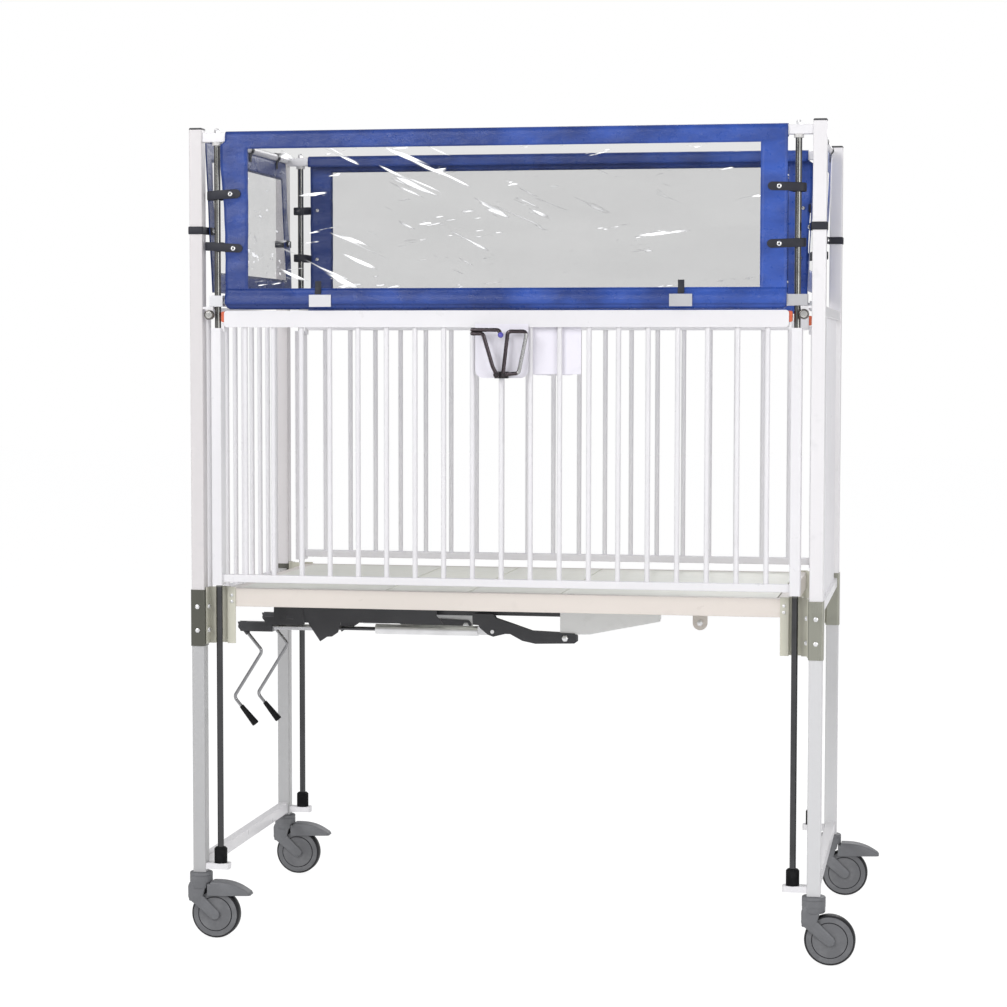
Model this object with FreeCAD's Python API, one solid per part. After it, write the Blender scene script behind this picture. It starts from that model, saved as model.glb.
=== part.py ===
import FreeCAD, Part
import math
import os

# Paediatric hospital crib, millimetres, +X along the length, -Y is the near side, +Z up.
# Every shape is drawn about the centre of the four posts and moved by shift_x when it is written.

# Corner posts and frame
post_side = 33.5
post_wall = 2.0
post_corner = 3.0
post_x = 779.0
post_y = 402.0
post_bottom = 170.0
cap_rise = 5.0
cap_plug = 12.0
seat_fit = 0.05
socket_height = 45.0
sleeve_wall = 2.0
sleeve_gap = 0.1
rail_wall = 1.5

# Fixed rails
top_rail_side = 23.0
top_rail_bottom = 2020.0
post_top = top_rail_bottom + 31.0
end_tube_radius = 9.5
end_tube_x = post_x - 14.0
end_tube_z = top_rail_bottom + 16.0
end_rail_side = 25.0
end_top_rail_bottom = 1584.0
lower_bar_bottom = 175.0
lower_bar_height = 30.0
spindle_radius = 6.5
spindle_wall = 1.2
end_spindle_count = 9
end_spindle_margin = 72.05
end_spindle_pitch = 2 * (post_y - post_side / 2 - end_spindle_margin) / (end_spindle_count - 1)

# Height of the sleeping surface, and what is set from it
deck_top = 895.0
sleeve_bottom = deck_top - 145.0
sleeve_top = deck_top - 2.0
end_bottom_rail_bottom = deck_top - 40.0

# Guide rods
rod_x = 727.0
rod_radius = 8.0
foot_plate_bottom = 178.0
foot_plate_thickness = 15.0
foot_plate_width = 30.0
foot_plate_reach = rod_x - 25.0
bumper_radius = 16.5
bumper_height = 41.0
rod_nut_radius = 12.0
rod_nut_height = 8.0
rod_fit = 0.06

# Drop sides
stile_x = 26.0
stile_y = 42.0
stile_wall = 2.0
bushing_height = 24.0
side_rail_half = rod_x - 19.5
side_top_rail_bottom = 1557.0
side_top_rail_height = 41.5
side_top_rail_corner = 8.0
side_rail_depth = 25.0
stile_top = side_top_rail_bottom - 2.0
stile_bottom = deck_top + 10.7
side_bottom_rail_bottom = stile_bottom + 7.9
side_bottom_rail_height = 19.0
side_spindle_count = 19
side_spindle_margin = 51.4
side_spindle_pitch = 2 * (side_rail_half - side_spindle_margin) / (side_spindle_count - 1)
strike_z = side_top_rail_bottom + 31.0
strike_radius = 12.5
strike_x = rod_x + 17.0

# Side latch
latch_plate_left = -63.0
latch_plate_right = 70.0
latch_plate_top = side_top_rail_bottom + 8.0
latch_plate_bottom = latch_plate_top - 133.0
latch_plate_corner = 20.0
plate_thickness = 2.5
card_left = 75.0
card_right = 198.0
card_top = side_top_rail_bottom
card_bottom = card_top - 115.5
lever_wire = 4.8
lever_bend = 9.0
lever_pin_radius = 3.0
lever_eye_radius = 7.5
left_pin_x = -4.0
right_pin_x = 12.0
pin_z = latch_plate_bottom + 8.0
left_lever_y = -post_y - 45.0
right_lever_y = -post_y - 34.0
lever_knee_rise = 21.0
lever_grip_rise = 101.0
lever_strand = 9.0
left_knee_shift = 10.0
left_shoulder_shift = 34.0
left_tip_shift = 61.0
right_rise = 106.5
right_near_shift = 10.0
right_far_shift = 58.0
right_foot_shift = 37.0
ball_radius = 7.0
ball_shift = 10.5
running_fit = 0.05
plunger_height = 26.5
plunger_reach = 8.0
plunger_length = 55.0

# Vinyl enclosure
vinyl = 2.0
soft_gap = 0.4
bar_radius = 22.0
bar_z = side_top_rail_bottom + side_top_rail_height + 24.0
bar_half = rod_x - 25.0
clamp_bottom = bar_z - 13.5
clamp_height = 27.5
clamp_depth = 36.0
clamp_left_width = 35.0
clamp_right_width = 50.0
clip_left = -483.0
clip_right = 418.5
clip_width = 56.0
clip_shell = 2.8
clip_rivet_radius = 3.0
clip_rivet_drop = 9.5
clip_rivet_inset = 12.0
end_vinyl_half = post_y - post_side / 2 - 5.25
end_vinyl_top = end_tube_z - end_tube_radius - soft_gap
end_vinyl_bottom = bar_z + 22.5
end_vinyl_lean = 17.0

# Deck
deck_rail_height = 46.0
deck_rail_depth = 25.0
deck_rail_y = 382.0
bracket_sheet = 3.0
bracket_bottom = deck_top - 140.0
bracket_top = deck_top + 4.0
recess_outer = rod_x + 15.0
recess_inner = rod_x - 16.0
recess_depth = 22.0
bracket_overlap = 21.0
pan_side_gap = 1.5
pan_half = deck_rail_y - deck_rail_depth - pan_side_gap
pan_height = 25.0
pan_sheet = 2.0
hinge_drop = 3.0
hinge_gap = 3.0
hinge_pin_radius = 2.2
knee_lip = 6.0
knee_relief = 7.0
knee_member_shift = 26.0
foot_hinge_x = -303.0
thigh_hinge_x = -90.0
back_hinge_x = 145.0
deck_end_gap = 2.5
rest_gap = 0.3
cross_width = 20.0

# Raising screws, one each side of the centre line
screw_y = 116.0
screw_z = deck_top - 126.0
housing_side = 25.0
housing_right_front = -666.0
housing_right_rear = -628.0
shaft_radius = 8.0
shaft_end = -531.0
front_thread_end = -255.0
rear_thread_end = -460.0
front_tube_start = -387.0
rear_tube_start = -476.0
thread_radius = 5.0
nut_radius = 13.0
nut_length = 20.0
tongue_half = 6.0
link_sheet = 4.0
link_gap = 0.3
link_pin_radius = 5.0
tongue_length = 39.0
heel_length = 53.0
heel_clearance = 4.5
backrest_link_pin = -74.0
thigh_link_pin = -365.0
gusset_bolt_x = 118.0
gusset_bolt_drop = 13.0
gusset_plate = 12.0
near_gap = 14.0
far_gap = 18.0
hanger_sheet = 4.0
hanger_left = -660.0
hanger_slit = -577.0
hanger_leg_right = 62.0
hanger_leg_left = 43.0
hanger_slot_left = 48.0
hanger_slot_right = 29.0
hanger_low = screw_z + 17.0
hanger_shelf = screw_z + 40.0
hanger_foot = screw_z - 34.5
arm_low = screw_z + 7.0
arm_high = screw_z + 28.0
roller_x = 467.0
roller_z = deck_top - 92.0
roller_radius = 19.0

# Crank handles
pivot_x = -752.0
stub_angle = -50.0
knuckle_radius = 9.0
knuckle_half = 8.0
cheek_gap = 0.3
cheek_sheet = 4.2
crank_pin_radius = 3.0
crank_wire = 4.4
crank_bend = 14.0
socket_radius = 6.5
socket_reach = 26.0
grip_start = 31.0
grip_length = 62.0
grip_small = 5.9
grip_large = 9.8

# Castors
wheel_radius = 62.5
wheel_width = 32.0
tread_thickness = 5.0
trail = 40.0
hood_radius = 29.5
hood_top = 169.0
hood_bottom = 95.0
cheek_thickness = 6.5
wheel_side_gap = 1.5
axle_radius = 5.0
stem_radius = 11.0
stem_height = 40.0
pedal_reach = 133.0
pedal_half = 16.0
pedal_pivot_x = 27.0
pedal_pivot_z = 143.0

# Middle of the outer box along X, taken out so that the origin lies under its centre
sleeve_half = post_side / 2 + sleeve_gap + sleeve_wall
shift_x = -((post_x + pedal_reach) - (post_x + sleeve_half)) / 2


def vec(x, y, z):
    return FreeCAD.Vector(x, y, z)


def box(x0, x1, y0, y1, z0, z1):
    return Part.makeBox(x1 - x0, y1 - y0, z1 - z0, vec(x0, y0, z0))


def rod(radius, start, end):
    axis = end.sub(start)
    return Part.makeCylinder(radius, axis.Length, start, axis)


def tube(radius, wall, start, end):
    return rod(radius, start, end).cut(rod(radius - wall, start, end))


def rounded_loop(width, depth, corner):
    # outline about the origin in the XY plane
    w = width / 2
    d = depth / 2
    c = corner
    k = c * (1 - math.sqrt(0.5))
    edges = []
    corners = [(1, -1), (1, 1), (-1, 1), (-1, -1)]
    for i in range(4):
        sx, sy = corners[i]
        nx, ny = corners[(i + 1) % 4]
        along_y = i % 2 == 0
        if along_y:
            edges.append(Part.LineSegment(vec(sx * w, sy * (d - c), 0), vec(nx * w, ny * (d - c), 0)).toShape())
            arc_end = vec(nx * (w - c), ny * d, 0)
            arc_start = vec(nx * w, ny * (d - c), 0)
        else:
            edges.append(Part.LineSegment(vec(sx * (w - c), sy * d, 0), vec(nx * (w - c), ny * d, 0)).toShape())
            arc_end = vec(nx * w, ny * (d - c), 0)
            arc_start = vec(nx * (w - c), ny * d, 0)
        middle = vec(nx * (w - k), ny * (d - k), 0)
        edges.append(Part.Arc(arc_start, middle, arc_end).toShape())
    return Part.Wire(edges)


def post_tube(width, depth, wall, corner, length):
    # upright rectangular tube standing on the origin
    outer = Part.Face(rounded_loop(width, depth, corner))
    inner = Part.Face(rounded_loop(width - 2 * wall, depth - 2 * wall, max(corner - wall, 0.6)))
    return outer.cut(inner).extrude(vec(0, 0, length))


def square_bar(start, end, width, height, wall, corner=2.0):
    # level tube between two points, either along X or along Y; start and end lie on its underside
    length = end.sub(start).Length
    shape = post_tube(height, width, wall, corner, length)
    shape.rotate(vec(0, 0, 0), vec(0, 1, 0), 90)
    if abs(end.x - start.x) < 1e-6:
        shape.rotate(vec(0, 0, 0), vec(0, 0, 1), 90)
    shape.translate(start.add(vec(0, 0, height / 2)))
    return shape


def plate(points, y0, y1):
    # flat plate standing in the XZ plane
    wire = Part.makePolygon([vec(x, y0, z) for x, z in points] + [vec(points[0][0], y0, points[0][1])])
    return Part.Face(wire).extrude(vec(0, y1 - y0, 0))


def bent_rod(points, bend, radius):
    # round wire through the points with rounded bends
    edges = []
    last = points[0]
    for i in range(1, len(points) - 1):
        before = points[i - 1].sub(points[i]).normalize()
        after = points[i + 1].sub(points[i]).normalize()
        half = before.getAngle(after) / 2
        back = bend / math.tan(half)
        start = points[i].add(FreeCAD.Vector(before).multiply(back))
        end = points[i].add(FreeCAD.Vector(after).multiply(back))
        inward = before.add(after).normalize()
        middle = points[i].add(inward.multiply(bend / math.sin(half) - bend))
        edges.append(Part.LineSegment(last, start).toShape())
        edges.append(Part.Arc(start, middle, end).toShape())
        last = end
    edges.append(Part.LineSegment(last, points[-1]).toShape())
    path = Part.Wire(edges)
    circle = Part.Wire([Part.Circle(points[0], points[1].sub(points[0]), radius).toShape()])
    return path.makePipeShell([circle], True, True)


def turned(shape):
    # the far side carries the same assembly turned half round
    copy = shape.copy()
    copy.rotate(vec(0, 0, 0), vec(0, 0, 1), 180)
    return copy


def corners():
    return [(-1, -1), (1, -1), (-1, 1), (1, 1)]


def mirrored(shape, sx, sy):
    copy = shape
    if sx > 0:
        copy = copy.mirror(vec(0, 0, 0), vec(1, 0, 0))
    if sy > 0:
        copy = copy.mirror(vec(0, 0, 0), vec(0, 1, 0))
    return copy


def write(name, shapes):
    group = []
    for shape in shapes:
        for solid in shape.Solids:
            copy = solid.copy()
            copy.translate(vec(shift_x, 0, 0))
            group.append(copy)
    whole = group[0] if len(group) == 1 else Part.makeCompound(group)
    whole.exportStep("parts/" + name + ".step")
    print(name, len(group), round(whole.Volume))


# Frame

def corner_posts():
    shapes = []
    inside = post_side - 2 * post_wall
    for sx, sy in corners():
        post = post_tube(post_side, post_side, post_wall, post_corner, post_top - post_bottom)
        post.translate(vec(sx * post_x, sy * post_y, post_bottom))
        socket = Part.Face(rounded_loop(inside, inside, 1.0)).extrude(vec(0, 0, socket_height))
        socket = socket.cut(rod(stem_radius + running_fit, vec(0, 0, 0), vec(0, 0, socket_height)))
        socket.translate(vec(sx * post_x, sy * post_y, post_bottom))
        shapes += [post, socket]
    return shapes


def post_caps():
    shapes = []
    inside = post_side - 2 * post_wall - 2 * seat_fit
    for sx, sy in corners():
        head = Part.Face(rounded_loop(post_side, post_side, post_corner)).extrude(vec(0, 0, cap_rise))
        head = head.makeChamfer(2.0, [e for e in head.Edges if e.BoundBox.ZMin > cap_rise - 0.01])
        plug = Part.Face(rounded_loop(inside, inside, 1.0)).extrude(vec(0, 0, -cap_plug))
        cap = head.fuse(plug)
        cap.translate(vec(sx * post_x, sy * post_y, post_top))
        shapes.append(cap)
    return shapes


def post_sleeves():
    shapes = []
    outer = 2 * sleeve_half
    for sx, sy in corners():
        sleeve = post_tube(outer, outer, sleeve_wall, post_corner + sleeve_wall, sleeve_top - sleeve_bottom)
        sleeve.translate(vec(sx * post_x, sy * post_y, sleeve_bottom))
        shapes.append(sleeve)
    return shapes


def frame_rails():
    shapes = []
    reach = post_x - post_side / 2
    cross = post_y - post_side / 2
    for sy in (-1, 1):
        y = sy * post_y
        shapes.append(square_bar(vec(-reach, y, top_rail_bottom), vec(reach, y, top_rail_bottom),
                                 top_rail_side, top_rail_side, rail_wall))
    for sx in (-1, 1):
        x = sx * post_x
        tube_x = sx * end_tube_x
        shapes.append(tube(end_tube_radius, rail_wall, vec(tube_x, -cross, end_tube_z), vec(tube_x, cross, end_tube_z)))
        shapes.append(square_bar(vec(x, -cross, end_top_rail_bottom), vec(x, cross, end_top_rail_bottom),
                                 end_rail_side, end_rail_side, rail_wall))
        inner = post_y - sleeve_half
        shapes.append(square_bar(vec(x, -inner, end_bottom_rail_bottom), vec(x, inner, end_bottom_rail_bottom),
                                 end_rail_side, end_rail_side, rail_wall))
        shapes.append(square_bar(vec(x, -cross, lower_bar_bottom), vec(x, cross, lower_bar_bottom),
                                 end_rail_side, lower_bar_height, rail_wall))
    return shapes


def end_panel_spindles():
    shapes = []
    low = end_bottom_rail_bottom + end_rail_side
    for sx in (-1, 1):
        for i in range(end_spindle_count):
            y = (i - (end_spindle_count - 1) / 2) * end_spindle_pitch
            shapes.append(tube(spindle_radius, spindle_wall, vec(sx * post_x, y, low),
                               vec(sx * post_x, y, end_top_rail_bottom)))
    return shapes


def rod_brackets():
    # foot plates, and the strikes above the drop sides: an arm, a lug and a round knob
    shapes = []
    inner = post_x - post_side / 2
    half = foot_plate_width / 2
    for sx, sy in corners():
        foot = box(-inner, -foot_plate_reach, -post_y - half, -post_y + half,
                   foot_plate_bottom, foot_plate_bottom + foot_plate_thickness)
        ends = [e for e in foot.Edges if e.BoundBox.XMin > -foot_plate_reach - 0.01 and e.BoundBox.ZLength > 1]
        foot = foot.makeFillet(8.0, ends)
        foot = foot.cut(rod(rod_radius, vec(-rod_x, -post_y, 0), vec(-rod_x, -post_y, 400)))
        front = -post_y - rod_radius - 2
        arm = box(-inner, -rod_x - rod_radius - 0.5, front - 5, front + 14, strike_z + 14.5, strike_z + 20.5)
        lug = box(-strike_x - 11, -strike_x + 8, front - 5, front - 1, strike_z - 11, strike_z + 14.5)
        knob = rod(strike_radius, vec(-strike_x, front - 15, strike_z), vec(-strike_x, front - 5, strike_z))
        knob = knob.makeFillet(3.0, [e for e in knob.Edges if e.BoundBox.YMax < front - 14.9])
        for shape in (foot, arm.fuse(lug), knob):
            shapes.append(mirrored(shape, sx, sy))
    return shapes


def guide_rods():
    shapes = []
    for sx, sy in corners():
        x = sx * rod_x
        y = sy * post_y
        bar = rod(rod_radius, vec(x, y, foot_plate_bottom), vec(x, y, top_rail_bottom))
        nut = rod(rod_nut_radius, vec(x, y, top_rail_bottom - rod_nut_height), vec(x, y, top_rail_bottom))
        shapes.append(bar.fuse(nut))
    return shapes


def rod_bumpers():
    shapes = []
    low = foot_plate_bottom + foot_plate_thickness
    for sx, sy in corners():
        x = sx * rod_x
        y = sy * post_y
        ring = rod(bumper_radius, vec(x, y, low), vec(x, y, low + bumper_height))
        ring = ring.makeChamfer(4.0, [e for e in ring.Edges if e.BoundBox.ZMin > low + bumper_height - 0.01])
        shapes.append(ring.cut(rod(rod_radius, vec(x, y, low), vec(x, y, low + bumper_height))))
    return shapes


# Deck

def deck_corner_brackets():
    # folded sheet, seen from above a hat that leaves room for the stile of the drop side
    shapes = []
    s = bracket_sheet
    f = -deck_rail_y - s
    sleeve_face = -(post_x - sleeve_half)
    back = f + recess_depth
    inner = -(recess_inner - bracket_overlap)
    outline = [(sleeve_face, f - 26), (sleeve_face + s, f - 26), (sleeve_face + s, f), (-recess_outer, f),
               (-recess_outer, back - s), (-recess_inner, back - s), (-recess_inner, f), (inner, f),
               (inner, f + s), (-recess_inner + s, f + s), (-recess_inner + s, back), (-recess_outer - s, back),
               (-recess_outer - s, f + s), (sleeve_face, f + s)]
    wire = Part.makePolygon([vec(x, y, bracket_bottom) for x, y in outline + [outline[0]]])
    sheet = Part.Face(wire).extrude(vec(0, 0, bracket_top - bracket_bottom))
    for sx, sy in corners():
        shapes.append(mirrored(sheet, sx, sy))
    return shapes


def deck_rail_end():
    return recess_inner - bracket_sheet


def cross_member(x, gap):
    y = deck_rail_y - deck_rail_depth
    z = deck_top - deck_rail_height
    return square_bar(vec(x, -y, z), vec(x, y, z), cross_width, deck_rail_height - pan_height - gap, rail_wall)


def deck_frame_rails():
    shapes = []
    end = deck_rail_end()
    z = deck_top - deck_rail_height
    centre = deck_rail_y - deck_rail_depth / 2
    inner = deck_rail_y - deck_rail_depth
    for sy in (-1, 1):
        shapes.append(square_bar(vec(-end, sy * centre, z), vec(end, sy * centre, z),
                                 deck_rail_depth, deck_rail_height, rail_wall))
    for sx in (-1, 1):
        x = sx * (end - deck_rail_depth / 2)
        shapes.append(square_bar(vec(x, -inner, z), vec(x, inner, z), deck_rail_depth, deck_rail_height, rail_wall))
    for x in (-560.0, foot_hinge_x - knee_member_shift, roller_x):
        shapes.append(cross_member(x, rest_gap))
    for x in (thigh_hinge_x + 14, back_hinge_x - 14):
        shapes.append(cross_member(x, 0))
    lug = box(roller_x - roller_radius, roller_x + roller_radius, -screw_y - 3, -screw_y + 3, roller_z, z)
    lug = lug.fuse(rod(roller_radius, vec(roller_x, -screw_y - 3, roller_z), vec(roller_x, -screw_y + 3, roller_z)))
    shapes.append(lug)
    return shapes


def tray_outline(x0, x1, relief0, relief1, top):
    # an end with relief keeps a short upright lip and then leans inward
    low = deck_top - pan_height
    outline = [(x0, top), (x1, top)]
    if relief1 > 0:
        outline.append((x1, deck_top - knee_lip))
    outline += [(x1 - relief1, low), (x0 + relief0, low)]
    if relief0 > 0:
        outline.append((x0, deck_top - knee_lip))
    return outline


def tray(x0, x1, relief0=0.0, relief1=0.0):
    # shallow steel tray, open below; relief lets two trays fold downward about the pin between them
    outer = plate(tray_outline(x0, x1, relief0, relief1, deck_top), -pan_half, pan_half)
    inside = tray_outline(x0 + pan_sheet, x1 - pan_sheet, relief0, relief1, deck_top - pan_sheet)
    return outer.cut(plate(inside, -pan_half + pan_sheet, pan_half - pan_sheet))


def hinge_pin(x, toward):
    # pin along Y in the seam, held by lugs that reach from the tray edge on one side
    z = deck_top - hinge_drop
    pin = rod(hinge_pin_radius, vec(x, -pan_half, z), vec(x, pan_half, z))
    for y in (-300.0, 0.0, 300.0):
        lug = box(min(x, x + toward * hinge_gap), max(x, x + toward * hinge_gap), y - 12, y + 12, z - 1.5, z + 1.5)
        pin = pin.fuse(lug)
    return pin


def seat_pan():
    seat = tray(thigh_hinge_x + hinge_gap, back_hinge_x - hinge_gap)
    return [seat, hinge_pin(thigh_hinge_x, 1), hinge_pin(back_hinge_x, -1)]


def backrest_pan():
    end = deck_rail_end() - deck_rail_depth - deck_end_gap
    z = deck_top - pan_height
    left = back_hinge_x + hinge_gap
    pan = tray(left, end)
    x = gusset_bolt_x
    bolt_z = screw_z - gusset_bolt_drop
    gusset = plate([(left + 4, z), (left + 4, z - 24), (x - 14, z - 24), (x - 14, bolt_z - 8), (x - 6, bolt_z - 14),
                    (x + 14, bolt_z - 14), (x + 24, screw_z - 3), (x + 63, screw_z - 2), (x + 246, hanger_shelf - 5),
                    (x + 254, z)], -screw_y - gusset_plate / 2, -screw_y + gusset_plate / 2)
    return [pan, gusset]


def thigh_pan():
    z = deck_top - pan_height
    pan = tray(foot_hinge_x + hinge_gap, thigh_hinge_x - hinge_gap, relief0=knee_relief)
    left = foot_hinge_x + 13
    right = thigh_hinge_x - 10
    gusset = plate([(left, z), (left, screw_z + 21), (left + 32, screw_z - 15), (right - 89, screw_z - 24),
                    (right - 76, screw_z - 17), (right - 72, screw_z + 21), (right, z)],
                   screw_y - gusset_plate / 2, screw_y + gusset_plate / 2)
    return [pan, gusset, hinge_pin(foot_hinge_x, 1)]


def foot_pan():
    end = deck_rail_end() - deck_rail_depth - deck_end_gap
    return [tray(-end, foot_hinge_x - hinge_gap, relief1=knee_relief)]


# Raising mechanism

def near_flange(y0, y1, right, housing_right):
    # side plate nearest the near side: arm to the crank housing, slotted web, leg down to the bearing
    top = deck_top - deck_rail_height
    slit = hanger_slit
    outline = [(hanger_left, top), (right - 18, top), (right - 18, hanger_shelf), (right, hanger_low),
               (slit + 99, hanger_low), (slit + 91, screw_z - 10), (slit + 75, screw_z - 21),
               (slit + hanger_leg_right, screw_z - 22), (slit + hanger_leg_left, hanger_foot),
               (slit + 14, arm_low + 1), (slit, hanger_shelf),
               (slit, top - 20), (slit - 3, top - 20), (slit - 3, arm_low), (housing_right - 19, arm_low),
               (housing_right - 19, arm_high), (hanger_left, arm_high)]
    flange = plate(outline, y0, y1)
    return flange.cut(box(slit - hanger_slot_left, slit - hanger_slot_right, y0, y1, arm_high - 5, arm_high + 4))


def screw_hangers():
    # each screw hangs in a channel of two side plates, open below
    shapes = []
    top = deck_top - deck_rail_height
    for y, right, far_right, housing_right in (
            (-screw_y, -203.0, 364.0, housing_right_front), (screw_y, -150.0, -480.0, housing_right_rear)):
        near = y - near_gap
        far = y + far_gap
        flange = near_flange(near - hanger_sheet, near, right, housing_right)
        rear_plate = box(hanger_slit, far_right, far, far + hanger_sheet, hanger_shelf, top)
        web = box(hanger_slit, -480.0, near, far, top - hanger_sheet, top)
        boss = box(housing_right - 19, housing_right - 2, near, y - housing_side / 2, arm_low, screw_z + 12)
        bearing = box(shaft_end - 14, shaft_end, near, far, screw_z - 11, hanger_shelf + 6)
        bearing = bearing.cut(rod(shaft_radius + running_fit, vec(-600, y, screw_z), vec(-500, y, screw_z)))
        keep = box(shaft_end - 14, shaft_end, far, far + hanger_sheet, hanger_shelf, hanger_shelf + 6)
        shapes += [flange.fuse([web, rear_plate, boss]), bearing.cut(keep)]
    return shapes


def crank_housings():
    shapes = []
    h = housing_side / 2
    for y, right in ((-screw_y, housing_right_front), (screw_y, housing_right_rear)):
        body = plate([(pivot_x + 12, screw_z + h), (right, screw_z + h), (right, screw_z - h),
                      (pivot_x + 24, screw_z - h)], y - h, y + h)
        body = body.cut(rod(shaft_radius + running_fit, vec(right - 30, y, screw_z), vec(right, y, screw_z)))
        inner = knuckle_half + cheek_gap
        for side in (-1, 1):
            y0 = y + side * inner
            y1 = y + side * h
            cheek = plate([(pivot_x - 9, screw_z + h), (pivot_x + 26, screw_z + h), (pivot_x + 26, screw_z - h),
                           (pivot_x - 1, screw_z - h)], min(y0, y1), max(y0, y1))
            body = body.fuse(cheek)
        pin = rod(crank_pin_radius, vec(pivot_x, y - h - 1, screw_z), vec(pivot_x, y + h + 1, screw_z))
        shapes.append(body.fuse(pin))
    return shapes


def screw_shaft(y, right, thread_end):
    # smooth shaft in two bearings, then the threaded length
    shaft = rod(shaft_radius, vec(right - 30, y, screw_z), vec(shaft_end, y, screw_z))
    thread = rod(thread_radius, vec(shaft_end, y, screw_z), vec(thread_end, y, screw_z))
    return [shaft.fuse(thread)]


def screw_tube(y, left, pivot):
    # travelling nut with its tube and the tongue that carries the link pin
    tube_end = pivot - tongue_length
    bar = rod(nut_radius, vec(left, y, screw_z), vec(tube_end, y, screw_z))
    bar = bar.cut(rod(thread_radius + running_fit, vec(left, y, screw_z), vec(left + nut_length, y, screw_z)))
    bar = bar.cut(rod(nut_radius - 3, vec(left + nut_length, y, screw_z), vec(tube_end - 6, y, screw_z)))
    tongue = box(tube_end - 1, pivot, y - tongue_half, y + tongue_half, screw_z - 9, screw_z + 11)
    eye = rod(11, vec(pivot, y - tongue_half, screw_z), vec(pivot, y + tongue_half, screw_z))
    reach = tongue_half + link_gap + link_sheet + 2
    pin = rod(link_pin_radius, vec(pivot, y - reach, screw_z), vec(pivot, y + reach, screw_z))
    return [bar.fuse(tongue).fuse(eye).fuse(pin)]


def link(y, pivot, outline, spacer):
    # two plates outside the tongue, joined by one spacer
    shapes = []
    for side in (-1, 1):
        y0 = y + side * (tongue_half + link_gap)
        y1 = y0 + side * link_sheet
        cheek = plate(outline, min(y0, y1), max(y0, y1))
        cheek = cheek.cut(rod(link_pin_radius + running_fit, vec(pivot, y - 40, screw_z), vec(pivot, y + 40, screw_z)))
        shapes.append(cheek)
    half = tongue_half + link_gap
    shapes.append(rod(5, vec(spacer[0], y - half, spacer[1]), vec(spacer[0], y + half, spacer[1])))
    return shapes


def link_outline(pin, points):
    return [(pin + x, screw_z + z) for x, z in points]


def backrest_link():
    # dog-leg plate: a tall heel over the tube, the pin below it, and a level arm to the gusset bolt
    reach = gusset_bolt_x - backrest_link_pin
    arm = reach + 31
    low = -2 * gusset_bolt_drop
    heel = nut_radius + heel_clearance
    outline = link_outline(backrest_link_pin, [
        (-heel_length, 46), (-heel_length, heel), (2 - tongue_length, heel - 1), (-34, 10), (-12, -8), (2, -13), (34, -5), (47, -5), (79, -22), (reach - 78, low - 3),
        (arm - 7, low), (arm, low + 5), (arm, -7), (arm - 7, 0), (104, 4), (47, 23), (9, 35), (2, 46)])
    return link(-screw_y, backrest_link_pin, outline, (backrest_link_pin + 80, screw_z - 9))


def thigh_link():
    outline = link_outline(thigh_link_pin, [
        (-16, 3), (-12, -8), (-1, -14), (15, -13), (65, -21), (177, -27), (189, -22), (191, -7), (183, 3),
        (65, 7), (15, 15), (-1, 17), (-12, 13)])
    return link(screw_y, thigh_link_pin, outline, (thigh_link_pin + 43, screw_z - 3))


def crank_frame():
    a = math.radians(stub_angle)
    return vec(math.cos(a), 0, math.sin(a))


def crank_head(y):
    d = crank_frame()
    centre = vec(pivot_x, y, screw_z)
    knuckle = rod(knuckle_radius, vec(pivot_x, y - knuckle_half, screw_z), vec(pivot_x, y + knuckle_half, screw_z))
    socket = rod(socket_radius, centre, centre.add(FreeCAD.Vector(d).multiply(socket_reach)))
    hole = rod(crank_pin_radius + running_fit, vec(pivot_x, y - 20, screw_z), vec(pivot_x, y + 20, screw_z))
    return [knuckle.fuse(socket).cut(hole)]


def crank_path(y, reach, drop, back):
    # stub along the turning axis, arm, and the grip spindle parallel to the stub
    d = crank_frame()
    centre = vec(pivot_x, y, screw_z)
    start = centre.add(FreeCAD.Vector(d).multiply(socket_reach + link_gap))
    first = centre.add(FreeCAD.Vector(d).multiply(reach))
    return start, first, vec(pivot_x - back, y, screw_z - drop), d


def crank_handle(y, reach, drop, back):
    start, first, second, d = crank_path(y, reach, drop, back)
    end = second.add(FreeCAD.Vector(d).multiply(grip_start + grip_length - 3))
    return [bent_rod([start, first, second, end], crank_bend, crank_wire)]


def crank_grip(y, reach, drop, back):
    start, first, second, d = crank_path(y, reach, drop, back)
    begin = second.add(FreeCAD.Vector(d).multiply(grip_start))
    body = Part.makeCone(grip_small, grip_large, grip_length, begin, d)
    rims = [e for e in body.Edges if e.Closed and abs(e.Curve.Radius - grip_large) < 0.01]
    body = body.makeFillet(3.0, rims)
    hole_end = begin.add(FreeCAD.Vector(d).multiply(grip_length - 3 + 0.3))
    return [body.cut(rod(crank_wire + running_fit, begin, hole_end))]


# Drop side, drawn for the near side

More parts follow.
